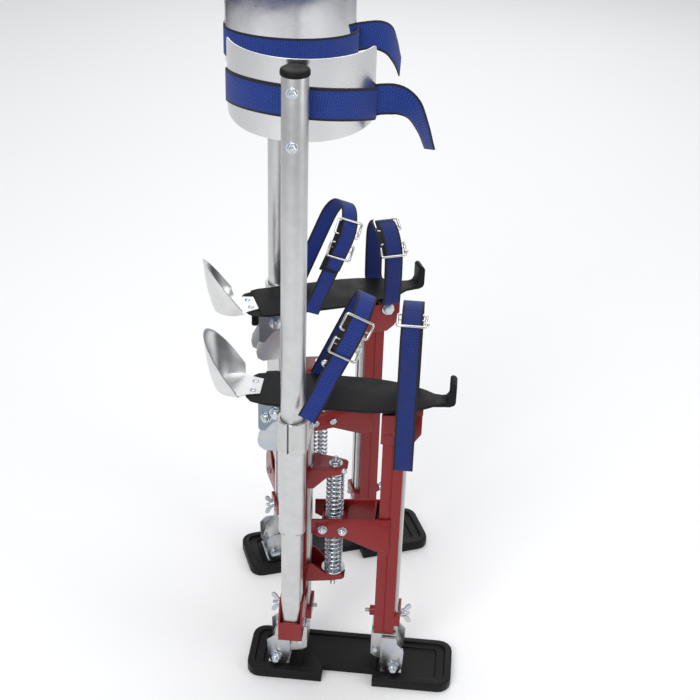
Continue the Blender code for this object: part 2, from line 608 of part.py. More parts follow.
def calf_strap(ctx, side):
    """Webbing loop outside the band and round the free side of the calf, with a tail.

    It rides highest where the tube holds it and drops towards the front of the leg."""
    cy = BAND_OUT_Y + BAND_R
    end = BAND_HALF_DEG
    path = []
    for i in range(21):
        share = -1.0 + i / 10.0
        ang = math.radians(end * share)
        path.append((BAND_X + math.sin(ang) * (BAND_R + 0.4), cy - math.cos(ang) * (BAND_R + 0.4),
                     908.0 - 15.5 * share * share - 6.5 * share))
    path.append((path[-1][0] + 0.4, path[-1][1] + 4.0, 886.0))
    path.insert(0, (path[0][0] - 0.4, path[0][1] + 4.0, 899.0))
    half = (BAND_R + 0.4) * math.sin(math.radians(end)) + 0.4
    y_end = path[-1][1]
    for i in range(1, 12):
        ang = math.pi * i / 12.0
        path.append((BAND_X + half * math.cos(ang), y_end + 58.0 * math.sin(ang),
                     892.5 - 6.5 * math.cos(ang)))
    thick = 1.4
    count = len(path)
    rings = [[], [], [], []]
    for i in range(count):
        ax, ay = path[i - 1][:2]
        bx, by = path[(i + 1) % count][:2]
        nx, ny = by - ay, -(bx - ax)
        size = math.hypot(nx, ny)
        nx, ny = nx / size, ny / size
        x, y, z = path[i]
        rings[0].append((x, y, z - 19.5))
        rings[1].append((x + nx * thick, y + ny * thick, z - 19.5))
        rings[2].append((x + nx * thick, y + ny * thick, z + 19.5))
        rings[3].append((x, y, z + 19.5))
    bm = loft(rings + [rings[0]], closed_ends=False)
    bmesh.ops.remove_doubles(bm, verts=bm.verts, dist=0.01)
    bmesh.ops.recalc_face_normals(bm, faces=bm.faces)
    tail = prism([(-1.0, 26.0), (0.4, 24.4), (27.0, 27.0), (55.0, 20.0), (56.0, 22.0), (27.0, 29.2)],
                 871.0, 903.0, "XY")
    build(ctx, side, "calf_strap", "webbing", [bm, tail], origin=(BAND_X, BAND_OUT_Y, 888.0))


def loose_end(points, width, lean, hand):
    """Flat webbing along a run of points; its width lies in the plane of the strap."""
    across = Vector((math.cos(lean), 0.0, -math.sin(lean)))
    run = [Vector((x, hand * y, z)) for x, y, z in points]
    rings = []
    for i, place in enumerate(run):
        ahead = run[min(i + 1, len(run) - 1)] - run[max(i - 1, 0)]
        normal = ahead.cross(across).normalized()
        ring = []
        for a, b in ((-0.5, -0.5), (0.5, -0.5), (0.5, 0.5), (-0.5, 0.5)):
            ring.append(tuple(place + across * (a * width) + normal * (b * WEBBING_THICK)))
        rings.append(ring)
    return loft(rings)


def arch_strap(ctx, side, name, base_x, lean, width, crest, tail, near_y, far_y, near_low, far_low, tuck,
               loose=()):
    """Webbing arch in a plane that leans forward, with a free tail on the wearer's right.

    With a tuck, both ends turn in under the edge of the foot plate."""
    hand = side.flip
    up = (math.sin(lean), math.cos(lean))
    across = (math.cos(lean), -math.sin(lean))
    thick = WEBBING_THICK
    shoulder = crest - 46.0
    mid = (near_y + far_y) / 2.0
    half = (far_y - near_y) / 2.0
    outer = [(near_y, near_low)]
    inner = [(near_y + thick, near_low)]
    if tuck > 0.0:
        outer = [(-tuck, near_low), (near_y + 5.0, near_low), (near_y, near_low + 5.0)]
        inner = [(-tuck, near_low + thick), (near_y + 5.8, near_low + thick), (near_y + thick, near_low + 5.8)]
    for i in range(11):
        ang = math.pi - math.pi * i / 10.0
        outer.append((mid + half * math.cos(ang), shoulder + (crest - shoulder) * math.sin(ang)))
        inner.append((mid + (half - thick) * math.cos(ang),
                      shoulder + (crest - shoulder - thick) * math.sin(ang)))
    if tuck > 0.0:
        outer += [(far_y, far_low + 5.0), (far_y - 5.0, far_low), (tuck, far_low)]
        inner += [(far_y - thick, far_low + 5.8), (far_y - 5.8, far_low + thick), (tuck, far_low + thick)]
    else:
        outer.append((far_y, far_low))
        inner.append((far_y - thick, far_low))
    path = outer + list(reversed(inner))
    solids = []
    jobs = [path, [(near_y + 0.5, tail[0]), (near_y + 0.5, tail[1]), (near_y - 2.4, tail[1]),
                   (near_y - 2.4, tail[0])]]
    for outline in jobs:
        rings = []
        for offset in (-width / 2.0, width / 2.0):
            ring = []
            for y, s in outline:
                x = base_x + up[0] * s + across[0] * offset
                z = STRAP_BASE_Z + up[1] * s + across[1] * offset
                ring.append((x, hand * y, z))
            rings.append(ring)
        solids.append(loft(rings))
    if loose:
        solids.append(loose_end(loose, width - 0.6, lean, hand))
    build(ctx, side, name, "webbing", solids, origin=(REAR_X, 0.0, TOP_PIVOT_Z))


def stilt(ctx, prefix, flip):
    side = Side(prefix, flip)
    facing = float(flip)
    floor_plate(ctx, side)
    floor_bracket(ctx, side, "front_floor_bracket", FRONT_X, 1.0, 79.0)
    floor_bracket(ctx, side, "rear_floor_bracket", REAR_X, -1.0, 63.0)
    pivot_bolt(ctx, side, "front_floor_pivot_bolt", FRONT_X, FLOOR_PIVOT_Z, EAR_Y + 0.3, EAR_Y + 0.3, 40.0)
    pivot_bolt(ctx, side, "rear_floor_pivot_bolt", REAR_X, FLOOR_PIVOT_Z, EAR_Y + 0.3, EAR_Y + 0.3, 40.0)
    inner_strut(ctx, side, "front_inner_strut", FRONT_STRUT_X, FRONT_X, facing, 1.0)
    inner_strut(ctx, side, "rear_inner_strut", REAR_STRUT_X, REAR_X, facing, -1.0)
    front_outer_strut(ctx, side, facing)
    rear_outer_strut(ctx, side, facing)
    wing_bolt(ctx, side, "front_wing_bolt", FRONT_STRUT_X, 1.0)
    wing_bolt(ctx, side, "rear_wing_bolt", REAR_STRUT_X, -1.0)
    front_top_bracket(ctx, side)
    rear_hanger(ctx, side)
    pivot_bolt(ctx, side, "front_top_pivot_bolt", FRONT_X, TOP_PIVOT_Z, 24.3, 24.3, 30.0)
    pivot_bolt(ctx, side, "rear_top_pivot_bolt", REAR_X, TOP_PIVOT_Z, 24.8, 24.8, 31.0)
    foot_plate(ctx, side)
    heel_cup(ctx, side)
    spring_bracket(ctx, side, "upper_spring_bracket", 370.0, -1.0, facing)
    spring_bracket(ctx, side, "lower_spring_bracket", 172.0, 1.0, facing)
    middle_bracket(ctx, side)
    spring_rod(ctx, side)
    coil_spring(ctx, side, "upper_spring", UPPER_SPRING_Z[0], UPPER_SPRING_Z[1])
    coil_spring(ctx, side, "lower_spring", LOWER_SPRING_Z[0], LOWER_SPRING_Z[1])
    spring_seat(ctx, side)
    lower_leg_tube(ctx, side)
    upper_leg_tube(ctx, side)
    calf_band(ctx, side)
    calf_strap(ctx, side)
    right = flip > 0
    crest = 139.0 if right else 109.0
    tail = (-86.0, 96.0) if right else (22.0, 66.0)
    arch_strap(ctx, side, "toe_strap", 63.5, 0.0, 27.0, crest, tail, -47.4, 47.6, -8.8, -8.8, 24.8)
    arch_strap(ctx, side, "instep_strap", -58.5, math.radians(23.3), 25.0, 159.0, (70.0, 114.0),
               -45.0, 43.5, -4.0, -6.0, 0.0, INSTEP_TAIL if right else ())


def main():
    clear_scene()
    ctx = {"parts": new_collection(COLLECTION, False), "cutters": new_collection("cutters", True)}
    stilt(ctx, "right_", 1)
    stilt(ctx, "left_", -1)


main()
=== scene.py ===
"""Looks for a pair of drywall stilts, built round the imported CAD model."""
import math

import bmesh
import bpy
from mathutils import Matrix, Vector


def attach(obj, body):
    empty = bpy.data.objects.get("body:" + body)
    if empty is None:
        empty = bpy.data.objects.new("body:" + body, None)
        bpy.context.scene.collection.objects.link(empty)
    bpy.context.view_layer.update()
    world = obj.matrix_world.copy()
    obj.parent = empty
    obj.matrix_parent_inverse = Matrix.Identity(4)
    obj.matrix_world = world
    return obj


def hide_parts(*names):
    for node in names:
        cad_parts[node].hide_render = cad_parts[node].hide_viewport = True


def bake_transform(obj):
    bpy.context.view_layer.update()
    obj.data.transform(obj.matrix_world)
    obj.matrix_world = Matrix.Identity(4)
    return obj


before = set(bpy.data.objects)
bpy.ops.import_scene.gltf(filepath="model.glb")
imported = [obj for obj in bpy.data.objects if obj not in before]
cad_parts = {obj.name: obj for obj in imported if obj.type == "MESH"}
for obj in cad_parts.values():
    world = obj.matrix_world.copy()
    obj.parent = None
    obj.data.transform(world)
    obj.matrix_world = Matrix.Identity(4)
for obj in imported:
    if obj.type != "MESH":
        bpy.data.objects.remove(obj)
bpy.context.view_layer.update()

# ---------------------------------------------------------------- layout (mm, one stilt's frame)
MM = 0.001
SPACING = 275.0
TOE_OUT_DEG = 11.03
SHIFT_X = 24.9
FRONT_X, REAR_X = 66.0, -109.0
FLOOR_PIVOT_Z, TOP_PIVOT_Z = 25.0, 464.0
FRONT_STRUT_X, REAR_STRUT_X = 48.5, -81.5
WING_Z = 108.0
ROD_X, SEAT_Z = -30.0, 272.0
TUBE_X, TUBE_Y = -82.0, -62.0
BAND_X, BAND_R, BAND_OUT_Y, BAND_HALF_DEG = -86.0, 92.6, -43.7, 74.0
BAND_CY = BAND_OUT_Y + BAND_R
BAND_Z = (859.0, 959.0)
TUBE_R, TUBE_BORE_R, TUBE_FOOT_Z, TUBE_TOP_Z = 16.0, 14.0, 340.0, 951.0
SLEEVE_R, SLEEVE_BORE_R, COLLAR_R = 18.2, 16.4, 20.5
EAR_Y = 26.3
HEEL_Z, HEEL_FRONT_X, HEEL_FRONT_Z, HEEL_SLOPE = 486.0, -158.0, 494.0, 1.45
STRAP_Z, WEB_THICK, ARCH_RISE = 489.0, 1.6, 46.0
CALF_WEB, TOE_WEB, INSTEP_WEB = 39.0, 27.0, 25.0
RIB_PITCH, WARP_PITCH, BORDER = 3.5, 5.2, 2.9
EVEN = (1.0, 1.0, 1.0)
# Free end of the right instep strap, from the buckle down to its tip.  These points were not worked out here:
# they came from a separate program.
INSTEP_TAIL = ((-24.4, -46.6, 568.4), (-30.0, -49.4, 557.3), (-35.8, -57.0, 546.8), (-44.4, -68.6, 530.7),
               (-53.3, -78.1, 514.0), (-61.8, -83.4, 497.4))


class Side:
    """Where one stilt stands.  flip is +1 for the right stilt and -1 for the left."""

    def __init__(self, prefix, flip):
        self.prefix = prefix
        self.flip = flip
        place = Matrix.Translation((SHIFT_X * MM, -flip * SPACING / 2.0 * MM, 0.0))
        turn = Matrix.Rotation(-math.radians(TOE_OUT_DEG) * flip, 4, "Z")
        self.matrix = place @ turn @ Matrix.Diagonal((MM, MM * flip, MM, 1.0))

    def body(self, name):
        return self.prefix + name + "_body"

    def point(self, x, y, z):
        return self.matrix @ Vector((x, y, z))


# ---------------------------------------------------------------- materials
def new_material(name, colour, metallic, roughness):
    mat = bpy.data.materials.new(name)
    mat.use_nodes = True
    tree = mat.node_tree
    shader = tree.nodes["Principled BSDF"]
    shader.inputs["Base Color"].default_value = (*colour, 1.0)
    shader.inputs["Metallic"].default_value = metallic
    shader.inputs["Roughness"].default_value = roughness
    mat.diffuse_color = (*colour, 1.0)
    return mat, tree, shader


def coords(tree, scale, kind="Object"):
    tex = tree.nodes.new("ShaderNodeTexCoord")
    mapping = tree.nodes.new("ShaderNodeMapping")
    mapping.inputs["Scale"].default_value = scale
    tree.links.new(tex.outputs[kind], mapping.inputs["Vector"])
    return mapping.outputs["Vector"]


def noise(tree, vector, scale, detail=4.0, rough=0.6):
    node = tree.nodes.new("ShaderNodeTexNoise")
    node.inputs["Scale"].default_value = scale
    node.inputs["Detail"].default_value = detail
    node.inputs["Roughness"].default_value = rough
    tree.links.new(vector, node.inputs["Vector"])
    return node.outputs["Fac"]


def ramp(tree, fac, low, high, col_a, col_b):
    node = tree.nodes.new("ShaderNodeValToRGB")
    node.color_ramp.elements[0].position = low
    node.color_ramp.elements[1].position = high
    node.color_ramp.elements[0].color = (*col_a, 1.0)
    node.color_ramp.elements[1].color = (*col_b, 1.0)
    tree.links.new(fac, node.inputs["Fac"])
    return node.outputs["Color"]


def remap(tree, fac, lo, hi, out_lo, out_hi):
    node = tree.nodes.new("ShaderNodeMapRange")
    node.inputs["From Min"].default_value = lo
    node.inputs["From Max"].default_value = hi
    node.inputs["To Min"].default_value = out_lo
    node.inputs["To Max"].default_value = out_hi
    tree.links.new(fac, node.inputs["Value"])
    return node.outputs["Result"]


def math_node(tree, op, a, b=None, c=None):
    node = tree.nodes.new("ShaderNodeMath")
    node.operation = op
    for index, value in enumerate((a, b, c)):
        if value is None:
            continue
        if isinstance(value, (int, float)):
            node.inputs[index].default_value = value
        else:
            tree.links.new(value, node.inputs[index])
    return node.outputs["Value"]


def bump(tree, shader, height, strength, distance):
    node = tree.nodes.new("ShaderNodeBump")
    node.inputs["Strength"].default_value = strength
    node.inputs["Distance"].default_value = distance
    tree.links.new(height, node.inputs["Height"])
    tree.links.new(node.outputs["Normal"], shader.inputs["Normal"])


def red_paint():
    """Dark red gloss enamel: slight orange peel, faint cloudiness and dust in the gloss."""
    mat, tree, shader = new_material("red_enamel", (0.225, 0.010, 0.010), 0.0, 0.32)
    vec = coords(tree, EVEN)
    cloud = noise(tree, vec, 16.0, 3.0)
    tree.links.new(ramp(tree, cloud, 0.3, 0.75, (0.215, 0.0085, 0.009), (0.238, 0.0105, 0.0115)),
                   shader.inputs["Base Color"])
    scuff = noise(tree, vec, 160.0, 5.0)
    tree.links.new(remap(tree, scuff, 0.35, 0.75, 0.29, 0.36), shader.inputs["Roughness"])
    bump(tree, shader, noise(tree, vec, 700.0, 2.0), 0.03, 0.0002)
    shader.inputs["Coat Weight"].default_value = 0.15
    shader.inputs["Specular IOR Level"].default_value = 0.30
    shader.inputs["Coat Roughness"].default_value = 0.14
    return mat


def aluminium(name, colour, roughness, grain):
    """Extruded aluminium with fine drawing lines along the strut."""
    mat, tree, shader = new_material(name, colour, 1.0, roughness)
    streak = noise(tree, coords(tree, (1.0, 1.0, 0.012)), 1500.0, 4.0, 0.65)
    cloud = noise(tree, coords(tree, EVEN), 40.0, 4.0)
    low = tuple(c * 0.90 for c in colour)
    high = tuple(min(1.0, c * 1.06) for c in colour)
    tree.links.new(ramp(tree, cloud, 0.3, 0.75, low, high), shader.inputs["Base Color"])
    both = math_node(tree, "MULTIPLY_ADD", streak, 0.6, math_node(tree, "MULTIPLY", cloud, 0.4))
    tree.links.new(remap(tree, both, 0.3, 0.7, roughness * 0.8, roughness * 1.25),
                   shader.inputs["Roughness"])
    bump(tree, shader, streak, grain, 0.0002)
    return mat


def polished():
    """Bright rolled sheet with faint buffing lines round it and smears in the gloss."""
    mat, tree, shader = new_material("polished_sheet", (0.70, 0.70, 0.71), 1.0, 0.22)
    lines = noise(tree, coords(tree, (0.02, 0.02, 1.0)), 1800.0, 3.0)
    smear = noise(tree, coords(tree, EVEN), 30.0, 5.0)
    tree.links.new(remap(tree, smear, 0.3, 0.7, 0.17, 0.30), shader.inputs["Roughness"])
    bump(tree, shader, lines, 0.012, 0.0001)
    return mat


def zinc(name, colour, roughness):
    """Bright zinc plating: bluish patches, fine crystal speckle, dull spots."""
    mat, tree, shader = new_material(name, colour, 1.0, roughness)
    patch = noise(tree, coords(tree, EVEN), 90.0, 5.0)
    cool = (colour[0] * 0.86, colour[1] * 0.93, min(1.0, colour[2] * 1.03))
    warm = (min(1.0, colour[0] * 1.05), colour[1] * 1.01, colour[2] * 0.94)
    tree.links.new(ramp(tree, patch, 0.35, 0.68, cool, warm), shader.inputs["Base Color"])
    speck = noise(tree, coords(tree, EVEN), 700.0, 6.0, 0.7)
    tree.links.new(remap(tree, speck, 0.3, 0.75, roughness * 0.7, roughness * 1.5),
                   shader.inputs["Roughness"])
    bump(tree, shader, speck, 0.06, 0.0002)
    return mat


def moulded_black(name, colour, roughness, grain_scale, grain):
    """Moulded black rubber or plastic with a fine spark-eroded grain and dusty high spots."""
    mat, tree, shader = new_material(name, colour, 0.0, roughness)
    vec = coords(tree, EVEN)
    cloud = noise(tree, vec, 35.0, 5.0)
    high = tuple(c * 1.8 + 0.001 for c in colour)
    tree.links.new(ramp(tree, cloud, 0.4, 0.8, colour, high), shader.inputs["Base Color"])
    fine = noise(tree, vec, grain_scale, 3.0, 0.6)
    tree.links.new(remap(tree, cloud, 0.3, 0.75, roughness * 0.82, roughness * 1.25),
                   shader.inputs["Roughness"])
    bump(tree, shader, fine, grain, 0.0003)
    shader.inputs["Specular IOR Level"].default_value = 0.18
    return mat


def webbing(name, width, blue):
    """Woven polyester webbing: ribs across, a herringbone of warp threads, dark bound edges, with painted
    shade in the low threads and painted highlight on the raised ones.

    The strap's UV map holds millimetres: u along the strap, v across it from the middle."""
    edge = (0.006, 0.006, 0.010)
    mat, tree, shader = new_material(name, blue, 0.0, 0.62)
    uv = tree.nodes.new("ShaderNodeUVMap")
    uv.uv_map = "weave"
    split = tree.nodes.new("ShaderNodeSeparateXYZ")
    tree.links.new(uv.outputs["UV"], split.inputs["Vector"])
    along, across = split.outputs["X"], split.outputs["Y"]
    rib = math_node(tree, "SINE", math_node(tree, "MULTIPLY", along, 2.0 * math.pi / RIB_PITCH))
    # every second warp bundle is shifted by half a rib
    column = math_node(tree, "SINE", math_node(tree, "MULTIPLY", across, 2.0 * math.pi / WARP_PITCH))
    phase = math_node(tree, "GREATER_THAN", column, 0.0)
    shifted = math_node(tree, "MULTIPLY_ADD", phase, math.pi,
                        math_node(tree, "MULTIPLY", along, 2.0 * math.pi / RIB_PITCH))
    weave = math_node(tree, "SINE", shifted)
    thread = math_node(tree, "ABSOLUTE", column)
    height = math_node(tree, "MULTIPLY_ADD", weave, 0.5, math_node(tree, "MULTIPLY", thread, 0.5))
    height = math_node(tree, "MULTIPLY_ADD", rib, 0.25, height)
    offset = math_node(tree, "ABSOLUTE", across)
    border = math_node(tree, "GREATER_THAN", offset, width / 2.0 - BORDER)
    fuzz = noise(tree, coords(tree, EVEN), 520.0, 6.0, 0.7)
    wear = noise(tree, coords(tree, EVEN), 60.0, 4.0)
    # painted shade and painted highlight: the weave's low threads are coloured darker and its raised threads
    # lighter, mixed with random fibre tone from fuzz
    shade = math_node(tree, "MULTIPLY_ADD", height, 0.42, math_node(tree, "MULTIPLY", fuzz, 0.5))
    body = ramp(tree, shade, 0.12, 0.62, tuple(c * 0.42 for c in blue),
                tuple(c * 1.55 + 0.005 for c in blue))
    faded = tree.nodes.new("ShaderNodeMix")
    faded.data_type = "RGBA"
    faded.inputs["B"].default_value = (blue[0] * 1.5 + 0.01, blue[1] * 1.35 + 0.01, blue[2] * 1.05, 1.0)
    tree.links.new(remap(tree, wear, 0.45, 0.75, 0.0, 0.35), faded.inputs["Factor"])
    tree.links.new(body, faded.inputs["A"])
    mix = tree.nodes.new("ShaderNodeMix")
    mix.data_type = "RGBA"
    tree.links.new(border, mix.inputs["Factor"])
    tree.links.new(faded.outputs["Result"], mix.inputs["A"])
    tree.links.new(ramp(tree, fuzz, 0.3, 0.8, edge, tuple(c * 3.0 + 0.004 for c in edge)), mix.inputs["B"])
    tree.links.new(mix.outputs["Result"], shader.inputs["Base Color"])
    tree.links.new(remap(tree, fuzz, 0.2, 0.8, 0.5, 0.8), shader.inputs["Roughness"])
    shader.inputs["Sheen Weight"].default_value = 0.08
    shader.inputs["Sheen Roughness"].default_value = 0.5
    shader.inputs["Specular IOR Level"].default_value = 0.22
    bump(tree, shader, math_node(tree, "MULTIPLY_ADD", fuzz, 0.5, height), 0.55, 0.0005)
    return mat


MATS = {}


def make_materials():
    MATS["red"] = red_paint()
    MATS["silver"] = aluminium("drawn_aluminium", (0.60, 0.60, 0.595), 0.36, 0.10)
    MATS["tube"] = aluminium("satin_tube", (0.62, 0.62, 0.62), 0.34, 0.06)
    MATS["polished"] = polished()
    MATS["cup"] = aluminium("satin_cup", (0.72, 0.72, 0.715), 0.30, 0.05)
    MATS["zinc"] = zinc("bright_zinc", (0.60, 0.63, 0.66), 0.24)
    MATS["spring"] = zinc("spring_zinc", (0.60, 0.64, 0.67), 0.22)
    MATS["bracket"] = zinc("bracket_zinc", (0.56, 0.57, 0.58), 0.34)
    # zinc darkened as painted shade, for the rear tabs of the foot plate
    MATS["dark_zinc"] = zinc("dark_zinc", (0.25, 0.29, 0.32), 0.30)
    MATS["nickel"] = zinc("nickel_wire", (0.66, 0.64, 0.60), 0.18)
    MATS["floor"] = moulded_black("floor_plate_rubber", (0.0045, 0.0045, 0.005), 0.46, 900.0, 0.22)
    MATS["foot"] = moulded_black("foot_plate_black", (0.005, 0.005, 0.0055), 0.50, 1200.0, 0.15)
    MATS["plastic"] = moulded_black("black_cap_plastic", (0.004, 0.004, 0.0045), 0.55, 700.0, 0.10)
    MATS["leather"] = moulded_black("black_keeper_leather", (0.012, 0.011, 0.011), 0.55, 420.0, 0.5)
    MATS["web_calf"] = webbing("webbing_calf", CALF_WEB, (0.009, 0.034, 0.215))
    MATS["web_toe"] = webbing("webbing_toe", TOE_WEB, (0.006, 0.019, 0.135))
    MATS["web_instep"] = webbing("webbing_instep", INSTEP_WEB, (0.008, 0.026, 0.185))


# ---------------------------------------------------------------- mesh helpers
def prism(points, low, high, plane):
    bm = bmesh.new()
    rings = []
    for level in (low, high):
        ring = []
        for a, b in points:
            co = (a, b, level) if plane == "XY" else (a, level, b) if plane == "XZ" else (level, a, b)
            ring.append(bm.verts.new(co))
        rings.append(ring)
    count = len(points)
    bm.faces.new(rings[0])
    bm.faces.new(rings[1])
    for i in range(count):
        j = (i + 1) % count
        bm.faces.new((rings[0][i], rings[0][j], rings[1][j], rings[1][i]))
    bmesh.ops.recalc_face_normals(bm, faces=bm.faces)
    return bm


def loft(rings, closed=False):
    """Skin over rings of points, capped at both ends unless the last ring joins the first."""
    bm = bmesh.new()
    loops = [[bm.verts.new(p) for p in ring] for ring in rings]
    count = len(rings[0])
    pairs = list(zip(loops[:-1], loops[1:]))
    if closed:
        pairs.append((loops[-1], loops[0]))
    for low, high in pairs:
        for i in range(count):
            j = (i + 1) % count
            bm.faces.new((low[i], low[j], high[j], high[i]))
    if not closed:
        bm.faces.new(loops[0])
        bm.faces.new(loops[-1])
    bmesh.ops.recalc_face_normals(bm, faces=bm.faces)
    return bm


def ring_points(axis, a, b, level, radius, sides):
    points = []
    for i in range(sides):
        ang = 2.0 * math.pi * i / sides
        u, v = a + radius * math.cos(ang), b + radius * math.sin(ang)
        points.append({"X": (level, u, v), "Y": (u, level, v), "Z": (u, v, level)}[axis])
    return points


def turned(axis, a, b, profile, sides):
    """A turned solid: profile is (level, radius) pairs from one end to the other."""
    return loft([ring_points(axis, a, b, level, radius, sides) for level, radius in profile])


def rounded(x0, x1, y0, y1, radius, steps=6):
    points = []
    corners = ((x1 - radius, y1 - radius, 0.0), (x0 + radius, y1 - radius, 90.0),
               (x0 + radius, y0 + radius, 180.0), (x1 - radius, y0 + radius, 270.0))
    for cx, cy, start in corners:
        for i in range(steps + 1):
            ang = math.radians(start + 90.0 * i / steps)
            points.append((cx + radius * math.cos(ang), cy + radius * math.sin(ang)))
    return points


def smooth_path(points, step=3.0):
    """Catmull-Rom curve through the points, resampled at an even step."""
    pts = [Vector(p) for p in points]
    pts = [pts[0] * 2.0 - pts[1]] + pts + [pts[-1] * 2.0 - pts[-2]]
    dense = []
    for i in range(1, len(pts) - 2):
        p0, p1, p2, p3 = pts[i - 1:i + 3]
        for k in range(24):
            t = k / 24.0
            dense.append(0.5 * ((2.0 * p1) + (p2 - p0) * t + (2.0 * p0 - 5.0 * p1 + 4.0 * p2 - p3) * t * t
                                + (3.0 * p1 - p0 - 3.0 * p2 + p3) * t ** 3))
    dense.append(pts[-2].copy())
    total = sum((b - a).length for a, b in zip(dense[:-1], dense[1:]))
    count = max(2, int(round(total / step)))
    out, travelled, target, index = [dense[0].copy()], 0.0, total / count, 0
    while len(out) < count and index < len(dense) - 1:
        seg = (dense[index + 1] - dense[index]).length
        if travelled + seg >= target and seg > 0.0:
            out.append(dense[index].lerp(dense[index + 1], (target - travelled) / seg))
            target += total / count
            continue
        travelled += seg
        index += 1
    out.append(dense[-1].copy())
    return out


def wire(points, radius, sides=10, closed=False):
    """Round wire along a path of points."""
    rings = []
    count = len(points)
    pts = [Vector(p) for p in points]
    normal = None
    for i in range(count):
        if closed:
            tangent = pts[(i + 1) % count] - pts[i - 1]
        else:
            tangent = pts[min(i + 1, count - 1)] - pts[max(i - 1, 0)]
        tangent.normalize()
        if normal is None:
            normal = tangent.orthogonal().normalized()
        normal = (normal - tangent * normal.dot(tangent)).normalized()
        other = tangent.cross(normal)
        rings.append([pts[i] + (normal * math.cos(2 * math.pi * k / sides)
                                + other * math.sin(2 * math.pi * k / sides)) * radius for k in range(sides)])
    return loft(rings, closed=closed)


def strip(path, across, width, thick, closed=False):
    """Webbing: a flat closed band along a path.  across gives its width direction, one or many.

    The mesh carries a UV layer called weave, in millimetres along and across."""
    count = len(path)
    pts = [Vector(p) for p in path]
    wide = [Vector(across)] * count if isinstance(across, (tuple, Vector)) else [Vector(a) for a in across]
    shape = ((-0.5, -0.30), (-0.485, -0.5), (-0.25, -0.5), (0.0, -0.5), (0.25, -0.5), (0.485, -0.5),
             (0.5, -0.30), (0.5, 0.30), (0.485, 0.5), (0.25, 0.5), (0.0, 0.5), (-0.25, 0.5),
             (-0.485, 0.5), (-0.5, 0.30))
    bm = bmesh.new()
    layer = bm.loops.layers.uv.new("weave")
    loops, lengths, travelled = [], [], 0.0
    for i in range(count):
        if closed:
            tangent = pts[(i + 1) % count] - pts[i - 1]
        else:
            tangent = pts[min(i + 1, count - 1)] - pts[max(i - 1, 0)]
        tangent.normalize()
        side = (wide[i] - tangent * wide[i].dot(tangent)).normalized()
        normal = tangent.cross(side).normalized()
        if i:
            travelled += (pts[i] - pts[i - 1]).length
        lengths.append(travelled)
        loops.append([bm.verts.new(pts[i] + side * (a * width) + normal * (b * thick)) for a, b in shape])
    size = len(shape)
    spans = [(i, i + 1) for i in range(count - 1)]
    if closed:
        spans.append((count - 1, 0))
    for i, j in spans:
        end = lengths[j] if j else lengths[i] + (pts[0] - pts[-1]).length
        for k in range(size):
            m = (k + 1) % size
            face = bm.faces.new((loops[i][k], loops[i][m], loops[j][m], loops[j][k]))
            marks = ((lengths[i], shape[k][0]), (lengths[i], shape[m][0]),
                     (end, shape[m][0]), (end, shape[k][0]))
            for loop, (u, v) in zip(face.loops, marks):
                loop[layer].uv = (u, v * width)
    if not closed:
        for i in (0, count - 1):
            face = bm.faces.new(loops[i])
            for loop in face.loops:
                loop[layer].uv = (lengths[i], width * 0.49)
    bmesh.ops.recalc_face_normals(bm, faces=bm.faces)
    return bm


def merge(parts):
    """Several closed solids in one bmesh."""
    first = parts[0]
    for other in parts[1:]:
        mesh = bpy.data.meshes.new("part")
        other.to_mesh(mesh)
        other.free()
        first.from_mesh(mesh)
        bpy.data.meshes.remove(mesh)
    return first


def finish_piece(obj, mat, body, nodes):
    obj.data.materials.clear()
    obj.data.materials.append(MATS[mat])
    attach(obj, body)
    if nodes:
        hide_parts(*nodes)
    return obj


def link_mesh(name, bm):
    """Turn a bmesh into an object in the scene."""
    mesh = bpy.data.meshes.new(name)
    bm.to_mesh(mesh)
    bm.free()
    obj = bpy.data.objects.new(name, mesh)
    bpy.context.scene.collection.objects.link(obj)
    return obj


def stand(side, name, bm):
    """Move a mesh made in one stilt's frame to where the stilt stands."""
    bmesh.ops.transform(bm, matrix=side.matrix, verts=bm.verts)
    if side.flip < 0:
        bmesh.ops.reverse_faces(bm, faces=bm.faces)
    return link_mesh(side.prefix + name, bm)


def piece(side, name, bm, mat, body, nodes=(), bevel=0.0, segments=2, angle=35.0):
    """Finish a mesh made in one stilt's frame as a piece on a body."""
    obj = stand(side, name, bm)
    soften(obj, bevel, segments, angle)
    return finish_piece(obj, mat, side.body(body), [side.prefix + n for n in nodes])


def soften(obj, bevel, segments, angle):
    for poly in obj.data.polygons:
        poly.use_smooth = True
    if bevel > 0.0:
        mod = obj.modifiers.new("edges", "BEVEL")
        mod.width = bevel * MM
        mod.segments = segments
        mod.limit_method = "ANGLE"
        mod.angle_limit = math.radians(angle)
        mod.harden_normals = True
    else:
        obj.data.set_sharp_from_angle(angle=math.radians(angle))


def edged(side, node, mat, body, bevel=0.5, segments=2):
    """The CAD solid of a node, copied with its flat faces joined and its edges rounded."""
    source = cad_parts[side.prefix + node]
    bm = bmesh.new()
    bm.from_mesh(source.data)
    bmesh.ops.remove_doubles(bm, verts=bm.verts, dist=0.000002)
    bmesh.ops.dissolve_limit(bm, angle_limit=math.radians(0.5), verts=bm.verts, edges=bm.edges)
    bmesh.ops.recalc_face_normals(bm, faces=bm.faces)
    obj = link_mesh(side.prefix + node + "_edged", bm)
    soften(obj, bevel, segments, 32.0)
    return finish_piece(obj, mat, side.body(body), [side.prefix + node])


# ---------------------------------------------------------------- fasteners
def axis_frame(axis, centre, sign):
    """Turns a solid made along +Z at the origin to point along sign*axis at centre."""
    target = {"X": Vector((1, 0, 0)), "Y": Vector((0, 1, 0)), "Z": Vector((0, 0, 1))}[axis] * sign
    turn = Vector((0, 0, 1)).rotation_difference(target).to_matrix().to_4x4()
    return Matrix.Translation(centre) @ turn


def placed(bm, matrix):
    bmesh.ops.transform(bm, matrix=matrix, verts=bm.verts)
    return bm


def hex_solid(radius, low, high, chamfer=0.6):
    flat = [(low, radius * 0.93), (low + chamfer, radius), (high - chamfer, radius), (high, radius * 0.86)]
    return turned("Z", 0.0, 0.0, flat, 6)


